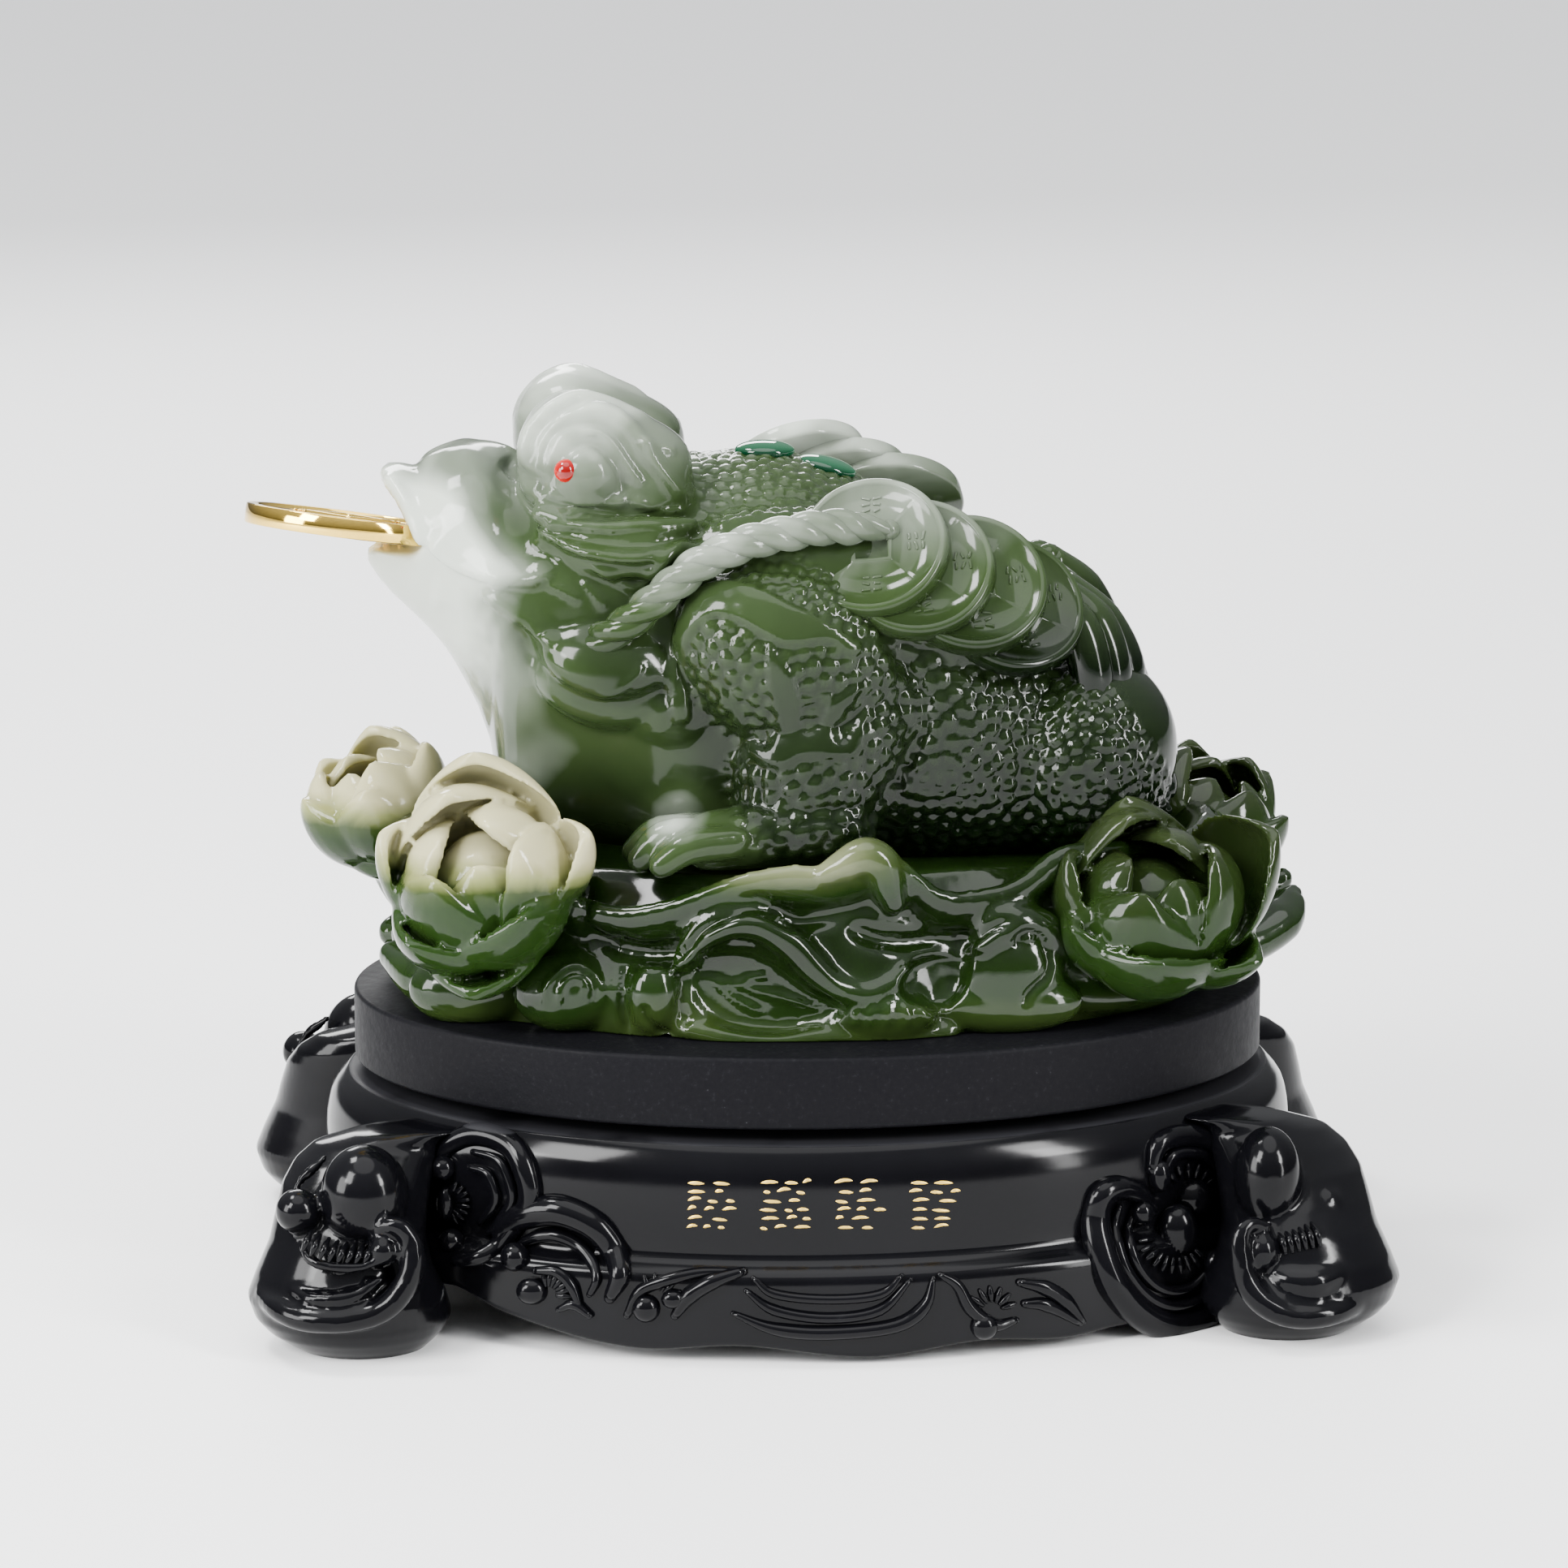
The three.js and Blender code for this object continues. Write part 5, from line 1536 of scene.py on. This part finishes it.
def stand_carving():
    """The scrolls, beads and ribs on the front of the stand, with the same on its back."""
    bm = bmesh.new()
    stand_bar(bm, UPPER_SCROLL, (1.2, 2.4, 3, 3.2, 3.2, 3, 2.8, 2.4, 2, 1.4), 0.5)
    for share, radius in ((0.74, 1.3), (0.5, 1.2)):
        stand_bar(bm, shrunk(UPPER_SCROLL[2:-2], (572, 1478), share), (0.8, radius, radius, radius, 0.8), 0.9)
    stand_ball(bm, (549, 1438), (3.2, 3.2, 3.2), 1.0)
    stand_ball(bm, (552, 1482), (2.4, 2.4, 4.6), 0.8)
    stand_ball(bm, (559, 1528), (3.2, 3.2, 3.2), 1.0)
    fringe(bm, (553, 1482), (13, 27), (65, -62), 8)
    stand_bar(bm, COMMA_SCROLL, (2, 3.2, 3.8, 4, 3.8, 3.4, 2.8, 1.6), 0.4)
    stand_bar(bm, shrunk(COMMA_SCROLL[1:], (676, 1584), 0.68), (1, 1.6, 1.8, 1.6, 1.2, 0.8), 1.0)
    stand_ball(bm, (637, 1547), (3.6, 3.6, 3.6), 1.2)
    stand_ball(bm, (657, 1590), (4, 3, 3.4), 0.5)
    stand_bar(bm, ((662, 1564), (688, 1566), (706, 1584), (716, 1612)), (1, 1.4, 1.4, 0.8), 1.0)
    stand_bar(bm, ((690, 1612), (708, 1606), (728, 1620)), (0.8, 1.4, 0.8), 1.0)
    fringe(bm, (676, 1594), (12, 28), (100, -5), 7)
    stand_bar(bm, RIGHT_SCROLL, (1.6, 2.6, 3, 3, 2.8, 2.4, 1.8), 0.5)
    stand_bar(bm, shrunk(RIGHT_SCROLL[:-1], (1468, 1470), 0.72), (0.9, 1.5, 1.6, 1.4, 0.9), 1.0)
    stand_ball(bm, (1426, 1448), (2.8, 2.8, 4.2), 1.0)
    stand_ball(bm, (1466, 1476), (5.4, 4.4, 5.2), 0.6)
    stand_ball(bm, (1506, 1480), (2.8, 2.8, 2.8), 1.4)
    fringe(bm, (1464, 1474), (26, 40), (150, 20), 8)
    stand_bar(bm, BIG_SCROLL, (1.6, 2.4, 3, 3.4, 3.8, 4, 4, 4, 3.8, 3.6, 3.2, 2.4, 1.6), 0.6)
    for share, radius in ((0.76, 1.6), (0.58, 1.3)):
        stand_bar(bm, shrunk(BIG_SCROLL[3:-2], (1440, 1530), share), (0.8, radius, radius, radius, 0.8), 1.2)
    stand_ball(bm, (1447, 1516), (5.4, 4.6, 7), 1.0)
    stand_ball(bm, (1402, 1491), (3.2, 3.2, 3.2), 1.8)
    stand_ball(bm, (1492, 1553), (3.4, 3.4, 3.4), 1.8)
    fringe(bm, (1446, 1520), (30, 46), (190, 320), 10, 1.2)
    for line, radius in zip(CRESCENTS, (1.2, 1.4, 1.8)):
        stand_bar(bm, line, (0.6, radius, radius, radius, 0.6), 0.3)
    stand_bar(bm, ((916, 1566), (880, 1578), (850, 1596), (832, 1620)), (1.2, 2, 2.2, 1.2), 0.3)
    stand_bar(bm, ((900, 1566), (862, 1568), (826, 1576), (790, 1590), (773, 1620)),
              (0.8, 1.4, 1.6, 1.6, 1), 0.3)
    stand_ball(bm, (797, 1612), (3.4, 2.6, 3.4), 0.6)
    stand_ball(bm, (830, 1600), (3, 2.2, 2.4), 0.5)
    fringe(bm, (806, 1604), (18, 34), (110, 0), 6, 0.4)
    stand_bar(bm, ((1158, 1570), (1180, 1584), (1196, 1612), (1226, 1632), (1252, 1626)),
              (0.8, 1.4, 1.8, 1.6, 0.8), 0.3)
    stand_ball(bm, (1212, 1634), (3.4, 2.6, 3.2), 0.5)
    fringe(bm, (1222, 1616), (14, 30), (170, 20), 7, 0.4)
    stand_bar(bm, ((1256, 1580), (1286, 1586), (1312, 1602), (1334, 1628)), (1, 2, 2, 0.8), 0.3)
    stand_bar(bm, ((1262, 1606), (1290, 1608), (1330, 1630)), (1, 1.8, 0.8), 0.3)
    return bm


# Legs. A leg's ring has its height, its spread along and across the stand, its lean inward along and across.
LEG_LEVELS = ((-0.06, 0.5, 0.5, 0.12, 0), (0, 0.62, 0.62, 0.1, 0), (0.04, 0.74, 0.74, 0.07, 0),
              (0.09, 0.86, 0.86, 0.04, 0), (0.15, 0.95, 0.95, 0.02, 0), (0.25, 1, 1, 0, 0),
              (0.36, 0.95, 0.97, 0.04, 0.04), (0.5, 0.88, 0.9, 0.1, 0.15), (0.62, 0.86, 0.81, 0.14, 0.34),
              (0.74, 0.84, 0.7, 0.19, 0.55), (0.83, 0.8, 0.57, 0.27, 0.78), (0.9, 0.72, 0.45, 0.38, 0.95),
              (0.945, 0.58, 0.43, 0.62, 1), (0.97, 0.42, 0.4, 0.94, 1))
FOOT_CENTRE = (116.5, 65.0)
FOOT_HALF = (25.5, 22.0)
LEG_REACH = 25.5
LEG_LEAN = 15.3
LEG_SIDES = 48
# Size of one facet of the legs
LEG_GRAIN = 0.9


def leg_forms(bm, side_x, side_y):
    """One leg, from its foot to where it meets the deck."""
    rings = []
    for level, along_spread, across_spread, inward, lean in LEG_LEVELS:
        centre = FOOT_CENTRE[0] - LEG_REACH * inward, FOOT_CENTRE[1] - LEG_LEAN * lean
        taper = 1 - 0.3 * smoothstep(0.1, 0.5, level)
        ring = []
        for a in angles(LEG_SIDES, 0.5):
            reach = FOOT_HALF[0] * along_spread * math.cos(a)
            if reach > 0:
                reach *= taper
            across = centre[1] + FOOT_HALF[1] * across_spread * math.sin(a)
            ring.append((side_x * (centre[0] - reach), side_y * across, level * STAND_HEIGHT))
        rings.append(ring)
    loft(bm, rings)


# What each front leg carries, read as pixels with a depth: beads with their radii, and ridges with theirs
LEFT_BEADS = (((449, 1472, -73), (10.8, 10.5, 12.4)), ((367, 1492, -74), (5.5, 5.5, 5.5)),
              ((472, 1541, -83.5), (3.7, 3.7, 3.7)))
LEFT_RIDGES = (
    (((462, 1521, -82), (474, 1511, -83), (491, 1511, -84), (505, 1526, -84), (509, 1549, -85),
      (503, 1576, -86), (486, 1602, -87), (462, 1619, -87.5), (429, 1627, -88), (395, 1628, -87.5),
      (367, 1624, -85), (343, 1612, -80), (326, 1596, -72)),
     (1.4, 2, 2.4, 2.8, 3, 3.2, 3.2, 3, 3, 3, 3, 2.6)),
    (((404, 1414, -52), (384, 1438, -54), (364, 1472, -57), (355, 1502, -60), (349, 1532, -63),
      (338, 1567, -66), (326, 1592, -68)), (1.2, 1.9, 2.1, 2.2, 2.4, 2.6)),
    (((362, 1590, -81), (381, 1600, -85), (409, 1601, -87), (439, 1596, -87), (469, 1576, -86)),
     (1.0, 1.6, 1.7, 1.7, 1.0)),
    (((372, 1534, -80), (380, 1550, -83), (402, 1560, -85), (439, 1562, -86), (464, 1556, -86)),
     (0.9, 1.4, 1.4, 0.9)),
    (((404, 1422, -66), (390, 1437, -67), (375, 1450, -68), (362, 1470, -68)), (0.7, 1.4, 0.7)),
)
RIGHT_BEADS = (((1562, 1449, -71), (8.4, 9.5, 12.5)), ((1633, 1490, -70), (5.5, 5.5, 6.4)),
               ((1556, 1543, -82), (3.9, 3.9, 4.8)))
RIGHT_RIDGES = (
    (((1560, 1511, -81), (1541, 1508, -82), (1529, 1520, -83), (1528, 1546, -84), (1535, 1577, -85),
      (1552, 1602, -87), (1578, 1618, -88), (1607, 1623, -88), (1642, 1618, -86), (1670, 1604, -80),
      (1688, 1588, -72)), (1.4, 2, 2.6, 3, 3.2, 3.2, 3, 3, 3, 2.6)),
    (((1596, 1392, -51), (1608, 1422, -54), (1620, 1448, -57), (1638, 1464, -59),
      (1656, 1484, -61), (1670, 1510, -63), (1682, 1541, -65), (1690, 1576, -66), (1692, 1594, -67)),
     (0.7, 1.8, 2.2, 2.2, 2.4, 2.4, 2.6)),
    (((1563, 1566, -82), (1587, 1578, -84), (1619, 1580, -84), (1645, 1568, -81), (1655, 1554, -77)),
     (1.8, 3.8, 4.2, 3.6, 2)),
    (((1553, 1580, -85), (1573, 1597, -86.5), (1602, 1604, -87), (1631, 1602, -86), (1655, 1586, -82)),
     (0.9, 1.6, 1.6, 0.9)),
)


def leg_bar(bm, pixels, radii, sides=16):
    """A ridge on a front leg, with its like on the back leg behind it."""
    bar_pair(bm, [at_depth(pixel[:2], pixel[2]) for pixel in pixels], radii, sides)


def leg_carving(bm, beads, ridges):
    """The beads and ridges of a front leg, with the same on the back leg."""
    for pixel, radii in beads:
        ball_pair(bm, at_depth(pixel[:2], pixel[2]), radii, level=4)
    for pixels, radii in ridges:
        leg_bar(bm, pixels, radii)


def leg_fringes(bm):
    """The short ribs between bead and lip."""
    for k in range(8):
        x = 377 + 10.8 * k
        y = 1529 + 5.5 * k - 0.45 * k * k
        leg_bar(bm, ((x + 7, y - 12, -81), (x + 1, y, -85), (x - 4, y + 12, -85.5)), (0.5, 0.95, 0.5), 10)
    for k in range(6):
        x = 1573 + 8.5 * k
        y = 1517 - 2.0 * k
        leg_bar(bm, ((x, y, -79), (x + 8, y + 13, -82.5), (x + 11, y + 27, -83.5)), (0.5, 0.95, 0.5), 10)


# The panel's strokes, in the photograph's pixels: the groups and their rows, where they begin, how far apart
# they are, and how wide a group is
STROKE_GROUPS = 4
STROKE_ROWS = 6
STROKES_LEFT = 843
STROKES_TOP = 1458
GROUP_STEP = 92
ROW_STEP = 11
GROUP_WIDTH = 66


def gold_strokes():
    """Four groups of rows of shallow gold strokes on the front panel."""
    bm = bmesh.new()
    chance = random.Random(5)
    for group in range(STROKE_GROUPS):
        left = STROKES_LEFT + GROUP_STEP * group
        for row in range(STROKE_ROWS):
            y = STROKES_TOP + ROW_STEP * row
            x = left + chance.uniform(0, 6)
            while x < left + GROUP_WIDTH - 12:
                length = min(chance.uniform(10, 27), left + GROUP_WIDTH - x)
                fall = chance.uniform(-3, 2)
                pixels = ((x, y), (x + length / 2, y + fall - 1), (x + length, y + fall))
                bar(bm, [on_stand(pixel, -0.3) for pixel in pixels], (0.25, 0.55, 0.5, 0.2), sides=8, steps=3)
                x += length + chance.uniform(4, 9)
    return bm


class OBJECT_OT_toad_stand(bpy.types.Operator):
    """Models the carved stand: wall, scrolls, legs and the gilded strokes on its panel"""
    bl_idname = "object.toad_stand"
    bl_label = "Carved Stand"

    def execute(self, context):
        lacquer = lacquer_material()
        scrolls = stand_carving()
        leg_fringes(scrolls)
        parts = {"stand_wall": plain_mesh("stand_wall", stand_wall()),
                 "stand_scrolls": plain_mesh("stand_scrolls", scrolls)}
        legs = bmesh.new()
        for side_x in (-1, 1):
            for side_y in (-1, 1):
                leg_forms(legs, side_x, side_y)
        leg_carving(legs, LEFT_BEADS, LEFT_RIDGES)
        leg_carving(legs, RIGHT_BEADS, RIGHT_RIDGES)
        parts["stand_legs"] = skin("stand_legs", legs, LEG_GRAIN, 2)
        for name in ("stand_scrolls", "stand_legs"):
            cut_below(parts[name], 0)
        for name, mesh in parts.items():
            finish_piece(name, mesh, lacquer, "stand", ["carved_stand"])
        paint = gold_material("gold_paint", 0.75, 500.0, ((0.35, 0.7), (0.6, 1.0)), (0.32, 0.15, 300.0, 0.1))
        finish_piece("panel_strokes", plain_mesh("panel_strokes", gold_strokes()), paint, "stand",
                     ["carved_stand"])
        return {"FINISHED"}


# Where the deck lies, in metres, for its satin finish
DECK_PLACE = (0.0521, 0.0525)
DECK_SATIN = (0.0, 0.4)


def lacquer_material():
    """Black lacquer over a cast stand, slightly uneven, and satin on the deck."""
    lacquer = bpy.context.scene.toad_finish.lacquer
    material, tree, principled = new_material("black_lacquer", {"IOR": 1.24, "Coat Weight": 0.0})
    deck = carried(tree, own_axes(tree)["Z"], DECK_PLACE, DECK_SATIN)
    colour_along(tree, principled, reckon(tree, "ADD", clouds(tree, 35.0, 5.0), deck),
                 [(0.3, tuple(lacquer)), (0.72, times(lacquer, 1.6)), (0.85, (0.011, 0.011, 0.013))])
    rough = add_polish(tree, principled, 0.09, 0.08, 70.0, 0.12)
    tree.links.new(reckon(tree, "ADD", rough, deck), principled.inputs["Roughness"])
    return material


def board_material():
    """Charcoal board, matt and finely speckled."""
    material, tree, principled = new_material("board_black", {"IOR": 1.14})
    colour_along(tree, principled, clouds(tree, 900.0, 3.0, 0.7),
                 [(0.0, (0.002, 0.002, 0.003)), (0.6, (0.004, 0.004, 0.005)), (0.76, (0.01, 0.01, 0.012)),
                  (0.82, (0.3, 0.3, 0.32))])
    add_polish(tree, principled, 0.42, 0.2, 400.0, 0.3, 0.0004)
    return material


# The leaf's tone, with places in metres: paler towards its foot, and paler on the rim's crest near one place
# along the rim
LEAF_FOOT = ((0.094, 0.076), (0.0, 0.3))
LEAF_CREST = ((0.107, 0.118), (0.0, 0.75))
CREST_PLACE = -0.012
CREST_WIDTH = (0.05, 0.01)


def leaf_material():
    """Deep green leaf resin, paler at its foot and at one place on its rim."""
    green = bpy.context.scene.toad_finish.leaf_green
    material, tree, principled = new_material("jade_leaf", {
        "IOR": 1.34, "Subsurface Weight": 0.15, "Subsurface Scale": 0.004,
        "Subsurface Radius": (0.7, 1.0, 0.3), "Coat Weight": 0.1, "Coat Roughness": 0.01})
    axes = own_axes(tree)
    away = reckon(tree, "SUBTRACT", axes["X"], CREST_PLACE)
    away = node(tree, "ShaderNodeMath", {0: away}, operation="ABSOLUTE").outputs[0]
    pale = reckon(tree, "MULTIPLY", carried(tree, axes["Z"], *LEAF_CREST), carried(tree, away, CREST_WIDTH))
    tone = reckon(tree, "ADD", carried(tree, axes["Z"], *LEAF_FOOT),
                  carried(tree, clouds(tree, 30.0, 4.0, distortion=0.8), after=(-0.1, 0.35)))
    colour_along(tree, principled, reckon(tree, "ADD", tone, pale),
                 [(0.0, times(green, 0.25)), (0.3, times(green, 0.7)), (0.5, (0.021, 0.035, 0.008)),
                  (1.0, (0.17, 0.18, 0.1))])
    add_polish(tree, principled, 0.06, 0.08, 120.0, 0.05)
    return material


# The heights between which a flower's colour goes from its foot's to its tips', in metres
CREAM_RISE = (0.108, 0.122)
GREEN_RISE = (0.09, 0.15)


def flower_material(name, cream):
    """Flower resin: cream petals that turn green at the foot, or green ones with paler tips."""
    look = bpy.context.scene.toad_finish
    material, tree, principled = new_material(name, {
        "IOR": 1.3, "Subsurface Weight": 0.25, "Subsurface Scale": 0.005,
        "Subsurface Radius": (1.0, 1.0, 0.6), "Coat Weight": 0.05, "Coat Roughness": 0.01})
    rise = carried(tree, own_axes(tree)["Z"], CREAM_RISE if cream else GREEN_RISE)
    swing = carried(tree, clouds(tree, 45.0, 4.0, distortion=1.2), after=(-0.25, 0.25))
    if cream:
        stops = [(0.05, tuple(look.leaf_green)), (0.3, (0.022, 0.038, 0.008)), (0.55, (0.17, 0.185, 0.07)),
                 (0.85, tuple(look.cream))]
    else:
        stops = [(0.1, times(look.leaf_green, 0.8)), (0.5, (0.011, 0.018, 0.005)),
                 (0.95, (0.035, 0.05, 0.018))]
    colour_along(tree, principled, reckon(tree, "ADD", rise, swing), stops)
    add_polish(tree, principled, 0.06, 0.08, 120.0, 0.05)
    return material


# Stage

# Half the floor's width in metres, the sky's light at two heights, and the ceiling's light with its spread
# and its tilt in degrees
FLOOR_HALF = 60.0
SKY_HORIZON = 0.12
SKY_OVERHEAD = 1.3
CEILING_STRENGTH = 1.8
CEILING_SPREAD = 50
CEILING_TILT = 14
# Soft lights, each with its place, the point that it faces, its width and height in metres and its watts
SOFTBOXES = {
    "softbox_left": ((-1.3, -1.1, 1.25), (0, 0, 0.12), (0.6, 0.8), 58),
    "softbox_right": ((1.25, -1.15, 1.1), (0, 0, 0.12), (0.3, 0.8), 36),
    "softbox_low_left": ((-1.35, -0.65, 0.5), (0, 0, 0.12), (0.6, 0.7), 30),
    "strip_right": ((1.0, -0.95, 0.5), (0, 0, 0.1), (0.14, 0.9), 10),
    "softbox_over": ((-0.6, 0.1, 1.25), (0, 0, 0.15), (0.36, 0.26), 14),
    "softbox_back": ((-0.2, 1.6, 0.9), (0, 0, 0.15), (0.9, 0.4), 18),
}


class OBJECT_OT_toad_stage(bpy.types.Operator):
    """Makes the pale floor, the soft lights and the camera at the photograph's angle"""
    bl_idname = "object.toad_stage"
    bl_label = "Stage"

    def execute(self, context):
        bm = bmesh.new()
        bmesh.ops.create_grid(bm, x_segments=1, y_segments=1, size=FLOOR_HALF)
        mesh = bpy.data.meshes.new("floor")
        bm.to_mesh(mesh)
        bm.free()
        floor = link("floor", mesh)
        material = new_material("floor_white", {"Base Color": (0.9, 0.9, 0.9, 1), "Roughness": 0.7})[0]
        mesh.materials.append(material)
        for name, values in SOFTBOXES.items():
            softbox(context, name, *values)
        data = bpy.data.lights.new("ceiling", "SUN")
        data.energy = CEILING_STRENGTH
        data.angle = math.radians(CEILING_SPREAD)
        ceiling = bpy.data.objects.new("ceiling", data)
        ceiling.rotation_euler = (math.radians(CEILING_TILT), 0, 0)
        context.scene.collection.objects.link(ceiling)
        context.scene.world = studio_sky()
        data = bpy.data.cameras.new("camera")
        data.lens = CAMERA_LENS
        data.sensor_width = CAMERA_SENSOR
        camera = bpy.data.objects.new("camera", data)
        context.scene.collection.objects.link(camera)
        camera.location = CAMERA_PLACE * TO_METRES
        camera.rotation_euler = (CAMERA_AIM - CAMERA_PLACE).to_track_quat("-Z", "Y").to_euler()
        context.scene.camera = camera
        return {"FINISHED"}


def studio_sky():
    """A soft light that is bright overhead and dim towards the horizon."""
    world = bpy.data.worlds.new("studio")
    world.use_nodes = True
    tree = world.node_tree
    ray = node(tree, "ShaderNodeTexCoord").outputs["Generated"]
    height = node(tree, "ShaderNodeSeparateXYZ", {0: ray}).outputs["Z"]
    background = tree.nodes["Background"]
    background.inputs["Color"].default_value = (0.95, 0.97, 1.0, 1)
    strength = carried(tree, height, after=(SKY_HORIZON, SKY_OVERHEAD))
    tree.links.new(strength, background.inputs["Strength"])
    return world


def softbox(context, name, place, aim, size, power):
    """A rectangular area light that faces a point, in metres and watts."""
    data = bpy.data.lights.new(name, "AREA")
    data.shape = "RECTANGLE"
    data.size, data.size_y = size
    data.energy = power
    light = bpy.data.objects.new(name, data)
    light.location = place
    light.rotation_euler = (Vector(aim) - Vector(place)).to_track_quat("-Z", "Y").to_euler()
    context.scene.collection.objects.link(light)


class VIEW3D_PT_toad(bpy.types.Panel):
    """Lists the makers of the figure's pieces"""
    bl_label = "Money Toad Figure"
    bl_space_type = "VIEW_3D"
    bl_region_type = "UI"
    bl_category = "Toad"

    def draw(self, context):
        for maker in MAKERS:
            self.layout.operator(maker.bl_idname)


MAKERS = (OBJECT_OT_toad_stage, OBJECT_OT_toad_body, OBJECT_OT_toad_coin_strings, OBJECT_OT_toad_leaf,
          OBJECT_OT_toad_flowers, OBJECT_OT_toad_gold_coin, OBJECT_OT_toad_glass, OBJECT_OT_toad_board,
          OBJECT_OT_toad_stand)
CLASSES = (FigureSettings, FinishSettings, *MAKERS, VIEW3D_PT_toad)


def register():
    for item in CLASSES:
        bpy.utils.register_class(item)
    bpy.types.Scene.toad_sizes = bpy.props.PointerProperty(type=FigureSettings)
    bpy.types.Scene.toad_finish = bpy.props.PointerProperty(type=FinishSettings)


def unregister():
    del bpy.types.Scene.toad_finish
    del bpy.types.Scene.toad_sizes
    for item in reversed(CLASSES):
        bpy.utils.unregister_class(item)


def main():
    register()
    for maker in MAKERS:
        category, name = maker.bl_idname.split(".")
        getattr(getattr(bpy.ops, category), name)()


if __name__ == "__main__":
    main()
